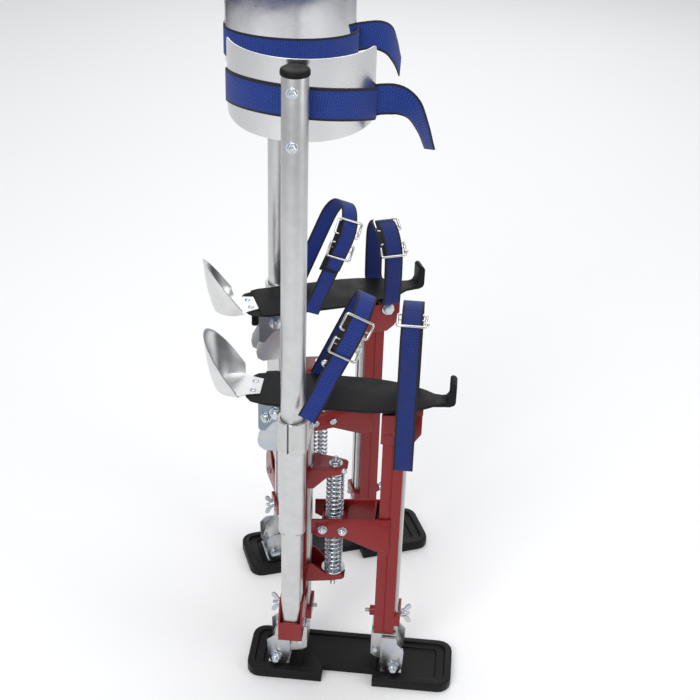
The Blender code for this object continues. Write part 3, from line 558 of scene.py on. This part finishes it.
def threaded(radius, low, high, pitch=1.4):
    """A bolt end with turned grooves for its thread and a chamfered tip."""
    profile = [(low, radius * 0.86)]
    level = low + pitch * 0.25
    while level < high - pitch:
        profile += [(level, radius), (level + pitch * 0.25, radius), (level + pitch * 0.6, radius * 0.86)]
        level += pitch
    profile += [(high - 0.9, radius * 0.94), (high, radius * 0.66)]
    return turned("Z", 0.0, 0.0, profile, 20)


def washer(outer, inner, low, high):
    rings = [ring_points("Z", 0, 0, low, inner, 32), ring_points("Z", 0, 0, low, outer - 0.2, 32),
             ring_points("Z", 0, 0, low + 0.25, outer, 32), ring_points("Z", 0, 0, high - 0.25, outer, 32),
             ring_points("Z", 0, 0, high, outer - 0.2, 32), ring_points("Z", 0, 0, high, inner, 32)]
    return loft(rings, closed=True)


def nut_stack(side, name, centre, axis, sign, body, nut=6.0, thick=5.0, washer_r=8.0, tip=4.0, shank=3.0):
    """Washer, hexagon nut and the bolt's threaded end, lying on a face at centre."""
    parts = [washer(washer_r, shank * 0.9, 0.0, 1.4), hex_solid(nut, 1.4, 1.4 + thick),
             threaded(shank, thick * 0.8, 1.4 + thick + tip)]
    bm = placed(merge(parts), axis_frame(axis, centre, sign))
    return piece(side, name, bm, "zinc", body, angle=38.0)


def bolt_head(side, name, centre, axis, sign, body, radius, thick, washer_r=0.0):
    """Hexagon head lying on a face at centre, on a washer when washer_r is given."""
    parts = []
    start = 0.0
    if washer_r > 0.0:
        parts.append(washer(washer_r, radius * 0.4, 0.0, 1.3))
        start = 1.2
    parts.append(hex_solid(radius, start, start + thick))
    bm = placed(merge(parts), axis_frame(axis, centre, sign))
    return piece(side, name, bm, "zinc", body, angle=38.0)


def button(side, name, centre, axis, sign, body, radius, height, mat):
    """Low round head of a rivet or cup-head bolt."""
    profile = [(-0.6, radius * 0.9), (0.0, radius), (height * 0.25, radius)]
    for i in range(1, 8):
        ang = math.pi / 2.0 * i / 8.0
        profile.append((height * (0.25 + 0.75 * math.sin(ang)), radius * math.cos(ang) + 0.04))
    bm = placed(turned("Z", 0.0, 0.0, profile, 28), axis_frame(axis, centre, sign))
    return piece(side, name, bm, mat, body, angle=40.0)


def pivot_bolt(side, node, px, pz, near, far, tip, body):
    """Pivot bolt along y, with washers, a lock nut outside and a hexagon head inside."""
    shank = turned("Y", px, pz, [(-near, 5.0), (far + 1.0, 5.0)], 24)
    out = axis_frame("Y", (px, -near, pz), -1.0)
    parts = [placed(washer(9.5, 4.8, 0.0, 1.5), out), placed(hex_solid(7.6, 1.5, 8.0), out),
             placed(turned("Z", 0.0, 0.0, [(7.6, 6.2), (8.6, 6.2), (9.6, 5.4), (9.8, 4.6)], 24), out),
             placed(threaded(4.7, 7.0, tip - near), out)]
    inner = axis_frame("Y", (px, far, pz), 1.0)
    parts += [placed(washer(9.5, 4.8, 0.0, 1.5), inner), placed(hex_solid(8.2, 1.5, 6.6), inner)]
    return piece(side, node + "_set", merge([shank] + parts), "zinc", body, [node],
                 angle=38.0)


# ---------------------------------------------------------------- the stilt, bottom to top
def floor_end(side):
    edged(side, "floor_plate", "floor", "base", 1.3, 3)
    edged(side, "front_floor_bracket", "bracket", "base", 0.5)
    edged(side, "rear_floor_bracket", "bracket", "base", 0.5)
    pivot_bolt(side, "front_floor_pivot_bolt", FRONT_X, FLOOR_PIVOT_Z, EAR_Y, EAR_Y, 40.0, "base")
    pivot_bolt(side, "rear_floor_pivot_bolt", REAR_X, FLOOR_PIVOT_Z, EAR_Y, EAR_Y, 40.0, "base")
    for index, x in enumerate((52.0, -96.0)):
        button(side, "bracket_screw_%d" % index, (x, 0.0, 11.9), "Z", 1.0, "base", 5.5, 1.9,
               "zinc")


def wing(side, node, cx, way, body):
    """Bolt through the strut with a pressed wing nut."""
    start = cx - way * 29.5
    neck = cx + way * 23.5
    base = axis_frame("X", (start, 0.0, WING_Z), way)
    length = abs(neck - start)
    parts = [placed(threaded(3.0, 0.0, 16.0), axis_frame("X", (start + way * 16.0, 0.0, WING_Z), -way)),
             placed(turned("Z", 0, 0, [(15.0, 2.9), (length + 2.0, 2.9)], 20), base)]
    hub = axis_frame("X", (neck, 0.0, WING_Z), way)
    boss = [(0.0, 5.4), (0.6, 6.0), (5.0, 5.0), (7.4, 4.4), (8.0, 3.6)]
    parts.append(placed(turned("Z", 0, 0, boss, 28), hub))
    parts.append(placed(threaded(2.7, 6.0, 13.0), hub))
    for up in (1.0, -1.0):
        shape = [(1.0, 2.0), (5.0, 2.0), (8.0, 5.0), (12.0, 8.0), (14.6, 11.5), (15.0, 15.0), (13.2, 17.2),
                 (10.4, 17.2), (7.6, 14.4), (4.6, 9.0), (1.6, 5.4)]
        parts.append(prism([(neck + way * x, WING_Z + up * z) for x, z in shape], -1.35, 1.35, "XZ"))
    return piece(side, node + "_set", merge(parts), "zinc", body, [node], bevel=0.45,
                 angle=50.0)


def struts(side):
    edged(side, "front_inner_strut", "silver", "front_lower", 0.7)
    edged(side, "rear_inner_strut", "silver", "rear_lower", 0.7)
    edged(side, "front_outer_strut", "red", "front_upper", 0.6)
    edged(side, "rear_outer_strut", "red", "rear_upper", 0.6)
    wing(side, "front_wing_bolt", FRONT_STRUT_X, 1.0, "front_wing")
    wing(side, "rear_wing_bolt", REAR_STRUT_X, -1.0, "rear_wing")
    bolt_head(side, "shoe_rivet_front_0", (37.6, -20.8, 50.0), "Y", -1.0, "front_lower", 4.2, 2.8)
    bolt_head(side, "shoe_rivet_rear_0", (-74.0, -20.8, 50.0), "Y", -1.0, "rear_lower", 5.0, 3.2)
    cap = prism(rounded(34.4, 54.5, -20.4, 20.4, 3.0), 448.0, 470.6, "XY")
    piece(side, "front_strut_cap", cap, "plastic", "front_upper", bevel=1.2, segments=3)
    cap = prism(rounded(-95.6, -67.4, -20.4, 20.4, 3.0), 465.8, 468.6, "XY")
    piece(side, "rear_strut_cap", cap, "plastic", "rear_upper", bevel=0.9, segments=3)
    # crescent marks on the painted faces, drawn as thin wires
    for index, (x, y, z, radius) in enumerate(((41.5, -24.0, 438.5, 4.4), (41.0, -20.9, 246.0, 5.0))):
        arc = [(x + radius * math.cos(math.radians(a)), y, z + radius * math.sin(math.radians(a)))
               for a in range(-10, 191, 20)]
        piece(side, "crescent_%d" % index, wire(arc, 0.75, 8), "red", "front_upper", angle=50.0)


def spring_gear(side):
    for node in ("upper_spring_bracket", "lower_spring_bracket"):
        edged(side, node, "red", "rear_upper", 0.6)
    edged(side, "middle_spring_bracket", "red", "front_upper", 0.6)
    edged(side, "front_top_bracket", "red", "front_upper", 0.6)
    edged(side, "rear_hanger", "bracket", "rear_upper", 0.6)
    # rod with its nuts and the two big spring washers
    rod_parts = [placed(threaded(3.5, 0.0, 20.0), axis_frame("Z", (ROD_X, 0.0, 362.0), 1.0)),
                 placed(threaded(3.5, 0.0, 20.0), axis_frame("Z", (ROD_X, 0.0, 173.0), -1.0)),
                 turned("Z", ROD_X, 0.0, [(172.0, 3.4), (363.0, 3.4)], 20),
                 placed(hex_solid(6.5, 0.0, 5.6), axis_frame("Z", (ROD_X, 0.0, 370.9), 1.0)),
                 placed(hex_solid(6.5, 0.0, 6.4), axis_frame("Z", (ROD_X, 0.0, 171.2), -1.0)),
                 turned("Z", ROD_X, 0.0, [(175.0, 6.2), (175.6, 6.5), (184.0, 6.5)], 28),
                 turned("Z", ROD_X, 0.0, [(359.0, 6.5), (366.6, 6.5), (367.2, 6.2)], 28)]
    for z in (184.0, 357.0):
        rod_parts.append(placed(washer(13.4 if z > 300 else 16.8, 3.3, 0.0, 2.0),
                                axis_frame("Z", (ROD_X, 0.0, z), 1.0)))
    rod_parts.append(placed(washer(9.5, 3.3, 0.0, 0.9), axis_frame("Z", (ROD_X, 0.0, 370.1), 1.0)))
    piece(side, "spring_rod_set", merge(rod_parts), "zinc", "rear_upper", ["spring_rod"],
          angle=38.0)
    seat = [placed(washer(13.0, 4.2, 0.0, 2.2), axis_frame("Z", (ROD_X, 0.0, 263.3), 1.0)),
            placed(washer(13.0, 4.2, 0.0, 2.2), axis_frame("Z", (ROD_X, 0.0, 278.5), 1.0)),
            placed(washer(6.5, 4.1, 0.0, 13.4), axis_frame("Z", (ROD_X, 0.0, 265.3), 1.0))]
    piece(side, "spring_seat_set", merge(seat), "zinc", "seat", ["spring_seat"], angle=38.0)
    for node, low, high in (("upper_spring", 281.1, 356.6), ("lower_spring", 186.4, 262.9)):
        coil(side, node, low, high)
    for index, x in enumerate((-44.0, -16.0)):
        nut_stack(side, "cross_bolt_near_%d" % index, (x, -24.0, SEAT_Z), "Y", -1.0, "front_upper",
                  nut=5.8, thick=4.4, washer_r=6.6, tip=2.2, shank=3.4)
        bolt_head(side, "cross_bolt_far_%d" % index, (x, 24.0, SEAT_Z), "Y", 1.0, "front_upper", 5.8, 3.4)
    button(side, "bracket_stud_upper", (-17.5, -11.2, 366.0), "Y", -1.0, "rear_upper", 4.4, 3.0,
           "zinc")


def coil(side, node, low, high):
    """Compression spring with closed, flattened end turns."""
    turns, steps, flat = 10.5, 26, 1.0
    wire_r, coil_r = 1.65, 11.2
    points = []
    for i in range(int(turns * steps) + 1):
        t = i / steps
        # the first and last turn lie almost closed on their neighbours
        if t < flat:
            rise = wire_r * 2.0 * t
        elif t > turns - flat:
            rise = (high - low - 2.0 * wire_r) - wire_r * 2.0 * (turns - t)
        else:
            share = (t - flat) / (turns - 2.0 * flat)
            rise = wire_r * 2.0 + (high - low - 6.0 * wire_r) * share
        ang = 2.0 * math.pi * t + 0.6
        points.append((ROD_X + coil_r * math.cos(ang), coil_r * math.sin(ang), low + wire_r + rise))
    obj = stand(side, node + "_coil", wire(points, wire_r, 10))
    for poly in obj.data.polygons:
        poly.use_smooth = True
    obj.data.materials.append(MATS["spring"])
    upper = node == "upper_spring"
    fixed = side.point(ROD_X, 0.0, high if upper else low)
    moving = side.point(ROD_X, 0.0, low if upper else high)
    side.body("rear_upper")
    side.body("seat")
    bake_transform(obj)
    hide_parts(side.prefix + node)


def leg_tubes(side):
    """Flattened foot, sleeve with its clamp collar, and the upper tube with cap and bolts."""
    cx = REAR_STRUT_X
    outer = rounded(cx - 13.9, cx + 13.9, TUBE_Y - 17.6, TUBE_Y + 17.6, 8.0, 8)
    inner = rounded(cx - 12.1, cx + 12.1, TUBE_Y - 15.8, TUBE_Y + 15.8, 6.4, 8)
    rings = [[(x, y, 131.0) for x, y in inner], [(x, y, 130.0) for x, y in outer],
             [(x, y, 301.0) for x, y in outer], [(x, y, 301.0) for x, y in inner]]
    flat = loft(rings, closed=True)
    # sleeve round the upper tube; the collar at its top is slit on the outer side
    sleeve = loft([ring_points("Z", TUBE_X, TUBE_Y, 297.0, 16.9, 48),
                   ring_points("Z", TUBE_X, TUBE_Y, 298.2, SLEEVE_R, 48),
                   ring_points("Z", TUBE_X, TUBE_Y, 438.0, SLEEVE_R, 48),
                   ring_points("Z", TUBE_X, TUBE_Y, 438.0, SLEEVE_BORE_R, 48),
                   ring_points("Z", TUBE_X, TUBE_Y, 300.0, SLEEVE_BORE_R, 48)], closed=True)
    gap_at, gap_half = math.radians(-101.0), math.radians(3.6)
    arc = []
    for i in range(57):
        arc.append(gap_at + gap_half + (2.0 * math.pi - 2.0 * gap_half) * i / 56.0)
    outline = [(TUBE_X + COLLAR_R * math.cos(a), TUBE_Y + COLLAR_R * math.sin(a)) for a in arc]
    outline += [(TUBE_X + SLEEVE_BORE_R * math.cos(a), TUBE_Y + SLEEVE_BORE_R * math.sin(a))
                for a in reversed(arc)]
    collar = prism(outline, 436.0, 484.0, "XY")
    tie = prism([(-46.0, 430.5), (-14.2, 430.5), (-14.2, 463.0), (-20.0, 469.5), (-46.0, 469.5)],
                -66.3, -62.1, "YZ")
    piece(side, "lower_leg_tube_body", merge([flat, sleeve]), "tube", "rear_upper",
          ["lower_leg_tube"], bevel=0.4, angle=40.0)
    piece(side, "leg_collar", merge([collar, tie]), "silver", "rear_upper",
          ["lower_leg_tube"], bevel=0.6, angle=40.0)
    profile = ((TUBE_FOOT_Z, TUBE_BORE_R), (TUBE_FOOT_Z, TUBE_R - 0.4), (TUBE_FOOT_Z + 1.0, TUBE_R),
               (TUBE_TOP_Z - 1.0, TUBE_R), (TUBE_TOP_Z, TUBE_R - 0.4), (TUBE_TOP_Z, TUBE_BORE_R))
    tube = loft([ring_points("Z", TUBE_X, TUBE_Y, z, radius, 64) for z, radius in profile], closed=True)
    piece(side, "upper_leg_tube_body", tube, "tube", "calf", ["upper_leg_tube"], angle=40.0)
    cap = [(943.0, 13.6), (948.0, 13.6), (948.2, 16.9), (948.8, 17.5), (952.6, 17.5), (954.4, 16.8),
           (955.4, 15.2), (955.8, 12.6), (955.9, 8.0), (955.6, 3.0)]
    piece(side, "tube_cap", turned("Z", TUBE_X, TUBE_Y, cap, 48), "plastic", "calf",
          angle=40.0)
    for index, z in enumerate((931.5, 866.5)):
        nut_stack(side, "tube_bolt_%d" % index, (TUBE_X - 1.0, TUBE_Y - 15.7, z), "Y", -1.0, "calf",
                  nut=5.6, thick=4.2, washer_r=7.4, tip=3.0, shank=2.9)
    nut_stack(side, "collar_bolt", (-61.8, -37.0, 458.0), "X", 1.0, "rear_upper", nut=5.4, thick=4.0,
              washer_r=6.4, tip=2.5, shank=2.8)
    # bolt that closes the foot bracket round the tube
    bolt_head(side, "foot_bolt_head", (-98.3, TUBE_Y, 130.0), "X", -1.0, "rear_upper", 5.6, 3.6, 7.0)
    nut_stack(side, "foot_bolt_nut", (-64.7, TUBE_Y, 130.0), "X", 1.0, "rear_upper", nut=5.6, thick=4.4,
              washer_r=7.0, tip=3.0, shank=3.0)


def band_point(ang, radius, z):
    return (BAND_X + radius * math.sin(ang), BAND_CY - radius * math.cos(ang), z)


def calf_parts(side):
    steps = 72
    rings = []
    for i in range(steps + 1):
        share = 2.0 * i / steps - 1.0
        ang = math.radians(BAND_HALF_DEG * share)
        edge = max(0.0, abs(share) - 0.93) / 0.07
        corner = 7.0 * (1.0 - math.sqrt(max(0.0, 1.0 - edge * edge)))
        low = BAND_Z[0] + 9.0 * abs(share) ** 3 + corner
        high = BAND_Z[1] - corner
        ring = []
        for k in range(9):
            v = k / 8.0
            ring.append(band_point(ang, BAND_R - 0.2, low + (high - low) * v))
        for k in range(9):
            v = 1.0 - k / 8.0
            ring.append(band_point(ang, BAND_R - 1.8, low + (high - low) * v))
        rings.append(ring)
    piece(side, "calf_band_sheet", loft(rings), "polished", "calf", ["calf_band"],
          bevel=0.35, angle=50.0)
    # webbing loop: outside the band, then round the free side of the calf
    path = []
    for i in range(49):
        share = i / 24.0 - 1.0
        path.append(band_point(math.radians(BAND_HALF_DEG * share), BAND_R + 1.0,
                               908.0 - 15.5 * share * share - 6.5 * share))
    half = (BAND_R + 1.0) * math.sin(math.radians(BAND_HALF_DEG)) + 0.2
    y_end = path[-1][1]
    for i in range(1, 44):
        ang = math.pi * i / 44.0
        path.append((BAND_X + half * math.cos(ang), y_end + 57.0 * math.sin(ang),
                     892.5 - 6.5 * math.cos(ang)))
    webbing_piece(side, "calf_strap_web", path, (0.0, 0.0, 1.0), CALF_WEB, "web_calf", "calf", "calf_strap",
                  closed=True)
    x0 = BAND_X + half
    spine = smooth_path([(x0 - 8.0, y_end + 1.0, 888.0), (x0 + 6.0, y_end + 3.0, 891.0),
                         (x0 + 27.0, y_end + 3.0, 891.0), (x0 + 44.0, y_end - 1.0, 882.0),
                         (x0 + 57.0, y_end - 7.0, 862.0), (x0 + 67.0, y_end - 13.0, 838.0)])
    turns = []
    last = len(spine) - 1
    for i in range(last + 1):
        share = max(0.0, i / last - 0.25) / 0.75
        turns.append(Vector((0.30 * share, -0.85 * share, 1.0 - 0.55 * share)).normalized())
    webbing_piece(side, "calf_strap_tail", spine, turns, CALF_WEB, "web_calf", "calf", "calf_strap")


def foot_parts(side):
    edged(side, "foot_plate", "foot", "foot", 0.9, 3)
    # tabs skin the rear ears of the foot plate; their zinc is painted dark as painted shade
    tab = [(-99.6, 483.6), (-99.6, 459.0), (-104.0, 452.6), (-114.0, 446.6), (-124.0, 433.6), (-129.0, 432.8),
           (-133.4, 436.0), (-133.4, 483.6)]
    for index, (y0, y1) in enumerate(((-25.2, -24.4), (24.4, 25.2))):
        piece(side, "rear_tab_%d" % index, prism(tab, y0, y1, "XZ"), "dark_zinc", "foot",
              bevel=0.3)
    pivot_bolt(side, "front_top_pivot_bolt", FRONT_X, TOP_PIVOT_Z, 24.3, 24.3, 33.0, "foot")
    pivot_bolt(side, "rear_top_pivot_bolt", REAR_X, TOP_PIVOT_Z, 25.4, 25.4, 35.0, "foot")
    nut_stack(side, "rear_tab_bolt", (-122.5, -25.2, 455.0), "Y", -1.0, "foot", nut=6.2, thick=4.6,
              washer_r=7.6, tip=3.4, shank=3.2)
    heel(side)
    toe_webbing(side)
    instep_webbing(side)


def heel(side):
    """Polished heel cup: tapered walls cut off along a steep slope, riveted to the foot plate."""
    levels, arc = 12, 40
    rings = []
    for k in range(levels + 1):
        v = k / levels
        radius = 28.8 + 10.2 * math.sin(math.pi / 2.0 * v) ** 0.9
        back = -166.0 - 3.0 * v
        ring = []
        for shell in (0, 1):
            r = radius - 2.0 * shell
            run = []
            for i in range(arc + 1):
                ang = math.radians(-90.0 + 180.0 * i / arc)
                run.append((back - r * math.cos(ang), r * math.sin(ang)))
            run = [(back + 8.0, -r), (back + 4.0, -r)] + run + [(back + 4.0, r), (back + 8.0, r)]
            if shell:
                run.reverse()
            for x, y in run:
                crest = HEEL_FRONT_Z + HEEL_SLOPE * max(0.0, HEEL_FRONT_X - x)
                lip = 0.8 * (1.0 - 2.0 * shell) * max(0.0, v - 0.85) / 0.15
                ring.append((x - lip * 0.5, y + math.copysign(lip * 0.3, y), HEEL_Z + (crest - HEEL_Z) * v))
        rings.append(ring)
    tongue = [(-131.9, -18.0), (-131.9, 18.0), (-150.0, 23.0), (-157.0, 28.0), (-166.0, 28.2), (-178.0, 25.6),
              (-187.0, 19.0), (-193.0, 9.6), (-194.6, 0.0), (-193.0, -9.6), (-187.0, -19.0), (-178.0, -25.6),
              (-166.0, -28.2), (-157.0, -28.0), (-150.0, -23.0)]
    floor = prism(tongue, HEEL_Z, 487.8, "XY")
    piece(side, "heel_cup_sheet", merge([loft(rings), floor]), "cup", "foot",
          ["heel_cup"], bevel=0.45, angle=50.0)
    for index, (x, y) in enumerate(((-142.0, -11.0), (-142.0, 11.0))):
        button(side, "heel_rivet_%d" % index, (x, y, 487.8), "Z", 1.0, "foot", 4.2, 1.5, "zinc")


def lean_plane(side, base_x, lean):
    """Gives place(y, s), the point at y across the foot and s up a strap's leaning plane."""
    up = Vector((math.sin(lean), 0.0, math.cos(lean)))
    origin = Vector((base_x, 0.0, STRAP_Z))

    def place(y, s):
        return origin + up * s + Vector((0.0, side.flip * y, 0.0))

    return place


def arch_yz(near, far, crest, ang, proud=0.0):
    """Point of the arch over the boot at ang degrees from its near shoulder, proud of the strap."""
    near, far, crest = near - proud, far + proud, crest + proud
    mid, half = (near + far) / 2.0, (far - near) / 2.0
    a = math.radians(ang)
    return (mid - half * math.cos(a), crest - ARCH_RISE + ARCH_RISE * math.sin(a))


def arch_run(near, far, crest, lows, tuck):
    """The strap's centre line from its near foot over the boot to its far foot."""
    run = []
    if tuck:
        run += [(-25.4, lows[0]), (near + 7.0, lows[0] + 0.1), (near + 1.4, lows[0] + 5.0)]
    else:
        run += [(near, lows[0])]
    shoulder = crest - ARCH_RISE
    run += [(near, lows[0] * 0.6 + shoulder * 0.4), (near, shoulder - 8.0)]
    for i in range(1, 13):
        run.append(arch_yz(near, far, crest, 180.0 * i / 13.0))
    run += [(far, shoulder - 8.0), (far, lows[1] * 0.6 + shoulder * 0.4)]
    if tuck:
        run += [(far - 1.4, lows[1] + 5.0), (far - 7.0, lows[1] + 0.1), (25.4, lows[1])]
    else:
        run += [(far, lows[1])]
    return run


def frame_buckle(side, name, across, outer, inner, out, width, wire_r, proud, sunk):
    """Rectangular wire frame: its outer bar stands proud of the webbing and its inner one lies under it."""
    height = (inner - outer).length
    up = (inner - outer).normalized()
    loop = []
    for a, b in rounded(-width / 2.0, width / 2.0, 0.0, height, 2.6, 5):
        loop.append(outer + across * a + up * b + out * (proud + (sunk - proud) * min(1.0, 1.6 * b / height)))
    parts = [wire(loop, wire_r, 10, closed=True)]
    bar = [outer + across * (t * width / 2.0) + up * (height * 0.6) + out * (sunk * 0.96)
           for t in (-1.0, -0.6, -0.2, 0.2, 0.6, 1.0)]
    parts.append(wire(bar, wire_r * 0.8, 8))
    return piece(side, name, merge(parts), "nickel", "foot", angle=50.0)


def webbing_piece(side, name, path, across, width, mat, body, node, closed=False):
    """One length of webbing along a path; its length is summed but not used."""
    obj = piece(side, name, strip(path, across, width, WEB_THICK, closed=closed), mat, body,
                [node], angle=50.0)
    pts = [Vector(p) for p in path]
    length = sum((pts[i + 1] - pts[i]).length for i in range(len(pts) - 1))
    if closed:
        length += (pts[0] - pts[-1]).length
    return obj


def facing(side, across, up):
    """Direction square to a strap that looks away from the boot."""
    out = across.cross(up).normalized()
    return out if out.dot(Vector((0.0, -side.flip, 0.6))) > 0.0 else -out


def toe_webbing(side):
    """Toe strap: an arch over the boot with its buckle and free tail on the wearer's right."""
    right = side.flip > 0
    near, far = -46.4, 46.6
    crest = 138.0 if right else 108.0
    shoulder = crest - ARCH_RISE
    place = lean_plane(side, 63.5, 0.0)
    across = Vector((1.0, 0.0, 0.0))
    run = [place(y, s) for y, s in arch_run(near, far, crest, (-7.8, -7.8), True)]
    webbing_piece(side, "toe_strap_web", smooth_path(run), across, TOE_WEB, "web_toe", "foot", "toe_strap")
    low = -86.0 if right else 22.0
    tail = [(near - 2.2, low), (near - 2.6, low * 0.5 + shoulder * 0.5), (near - 2.3, shoulder - 4.0)]
    top = (14.0, 28.0, 44.0, 60.0, 76.0) if right else (14.0, 32.0, 52.0, 70.0, 86.0)
    tail += [arch_yz(near, far, crest, ang, 2.2) for ang in top]
    webbing_piece(side, "toe_strap_tail", smooth_path([place(y, s) for y, s in tail]), across,
                  TOE_WEB - 0.4, "web_toe", "foot", "toe_strap")
    # angle of each buckle's proud outer bar and of its buried inner bar, with its width
    spots = ((45.0, 68.0, 37.0),) if right else ((15.0, 38.0, 36.0), (91.0, 66.0, 36.0))
    for index, (a_out, a_in, width) in enumerate(spots):
        outer = place(*arch_yz(near, far, crest, a_out, 1.6))
        inner = place(*arch_yz(near, far, crest, a_in, 1.6))
        out = facing(side, across, inner - outer)
        frame_buckle(side, "toe_buckle_%d" % index, across, outer, inner, out, width, 1.8, 3.2, -1.6)
        if index == 0:
            knob = outer + (inner - outer) * 0.30 + across * (width / 2.0 + 0.8) + out * 1.4
            bm = placed(turned("Z", 0, 0, [(-3.2, 1.6), (-2.6, 2.5), (2.6, 2.5), (3.2, 1.6)], 20),
                        axis_frame("X", knob, 1.0))
            piece(side, "toe_buckle_roller", bm, "nickel", "foot", angle=40.0)
    if not right:
        keeper = [place(*arch_yz(near, far, crest, ang, 0.9)) - across * 5.5
                  for ang in (14.0, 34.0, 54.0, 74.0, 90.0)]
        piece(side, "toe_keeper", strip(smooth_path(keeper), across, 29.0, WEB_THICK), "leather", "foot",
              angle=50.0)


def instep_webbing(side):
    """Instep strap in a plane that leans forward, with two buckles on a black keeper."""
    right = side.flip > 0
    lean = math.radians(23.3)
    across = Vector((math.cos(lean), 0.0, -math.sin(lean)))
    near, far, crest = -44.0, 42.5, 158.0
    place = lean_plane(side, -58.5, lean)
    run = [place(y, s) for y, s in arch_run(near, far, crest, (-4.0, -6.0), False)]
    webbing_piece(side, "instep_strap_web", smooth_path(run), across, INSTEP_WEB, "web_instep", "foot",
                  "instep_strap")
    run = [place(near - 1.0, s) - across * 3.0 for s in (66.0, 90.0, 112.0)]
    run += [place(*arch_yz(near, far, crest, ang, 1.0)) - across * 3.0 for ang in (10.0, 25.0, 40.0)]
    piece(side, "instep_keeper", strip(smooth_path(run), across, 30.0, WEB_THICK), "leather", "foot",
          angle=50.0)
    run = [Vector(p) for p in INSTEP_TAIL][::-1] if right else [place(near - 2.9, 72.0)]
    run += [place(near - 2.9, s) for s in (98.0, 112.0)]
    run += [place(*arch_yz(near, far, crest, ang, 2.9)) for ang in (12.0, 27.0, 42.0)]
    webbing_piece(side, "instep_strap_tail", smooth_path(run), across, INSTEP_WEB - 0.4, "web_instep", "foot",
                  "instep_strap")
    for index, (outer, inner) in enumerate((
            (place(near - 2.1, 92.0), place(near - 2.1, 113.0)),
            (place(*arch_yz(near, far, crest, 43.0, 2.1)),
             place(*arch_yz(near, far, crest, 16.0, 2.1))))):
        out = facing(side, across, inner - outer)
        frame_buckle(side, "instep_buckle_%d" % index, across, outer, inner, out, 37.0, 1.8, 3.2, -1.6)
    if right:
        spot = place(near - 1.2, 71.0) - across * 13.0
        button(side, "instep_rivet", tuple(spot), "Y", -1.0, "foot", 6.0, 1.8, "nickel")


def stilt(prefix, flip):
    side = Side(prefix, flip)
    floor_end(side)
    struts(side)
    spring_gear(side)
    leg_tubes(side)
    calf_parts(side)
    foot_parts(side)


# ---------------------------------------------------------------- stage, light, camera
def stage():
    bm = bmesh.new()
    bmesh.ops.create_grid(bm, x_segments=2, y_segments=2, size=12.0)
    floor = link_mesh("studio_floor", bm)
    mat, tree, shader = new_material("studio_white", (0.93, 0.93, 0.93), 0.0, 0.7)
    tree.links.new(ramp(tree, noise(tree, coords(tree, EVEN), 1.2, 2.0), 0.3, 0.7,
                        (0.925, 0.925, 0.925), (0.935, 0.935, 0.935)), shader.inputs["Base Color"])
    floor.data.materials.append(mat)
    world = bpy.data.worlds.new("studio")
    world.use_nodes = True
    world.node_tree.nodes["Background"].inputs["Color"].default_value = (0.95, 0.97, 1.0, 1.0)
    world.node_tree.nodes["Background"].inputs["Strength"].default_value = 0.52
    bpy.context.scene.world = world


def area(name, place, target, size, power):
    light = bpy.data.lights.new(name, "AREA")
    light.energy = power
    light.shape = "RECTANGLE"
    light.size = size
    light.size_y = size
    obj = bpy.data.objects.new(name, light)
    obj.location = place
    obj.rotation_euler = (Vector(target) - Vector(place)).to_track_quat("-Z", "Y").to_euler()
    bpy.context.scene.collection.objects.link(obj)


def lights():
    area("key", (-1.6, -2.6, 2.6), (0.0, 0.0, 0.5), 1.6, 54.0)
    area("fill", (2.4, -1.6, 1.6), (0.0, 0.0, 0.5), 1.4, 16.0)
    area("top", (0.2, 0.6, 3.2), (0.0, 0.0, 0.4), 2.4, 40.0)
    area("back", (0.6, 3.0, 1.8), (0.0, 0.0, 0.5), 1.8, 14.0)


def camera():
    data = bpy.data.cameras.new("camera")
    data.lens = 69.67
    data.sensor_width = 36.0
    obj = bpy.data.objects.new("camera", data)
    bpy.context.scene.collection.objects.link(obj)
    pitch, turn, roll = math.radians(31.69), math.radians(6.40), math.radians(1.86)
    ahead = Vector((math.sin(turn) * math.cos(pitch), math.cos(turn) * math.cos(pitch), -math.sin(pitch)))
    right = Vector((math.cos(turn), -math.sin(turn), 0.0))
    up = right.cross(ahead)
    right_r = right * math.cos(roll) + up * math.sin(roll)
    up_r = up * math.cos(roll) - right * math.sin(roll)
    rot = Matrix((right_r, up_r, -ahead)).transposed().to_4x4()
    obj.matrix_world = Matrix.Translation((-0.1828 + SHIFT_X * MM, -1.6273, 1.4818)) @ rot
    bpy.context.scene.camera = obj
    bpy.context.scene.view_settings.view_transform = "Standard"


make_materials()
stilt("right_", 1)
stilt("left_", -1)
stage()
lights()
camera()
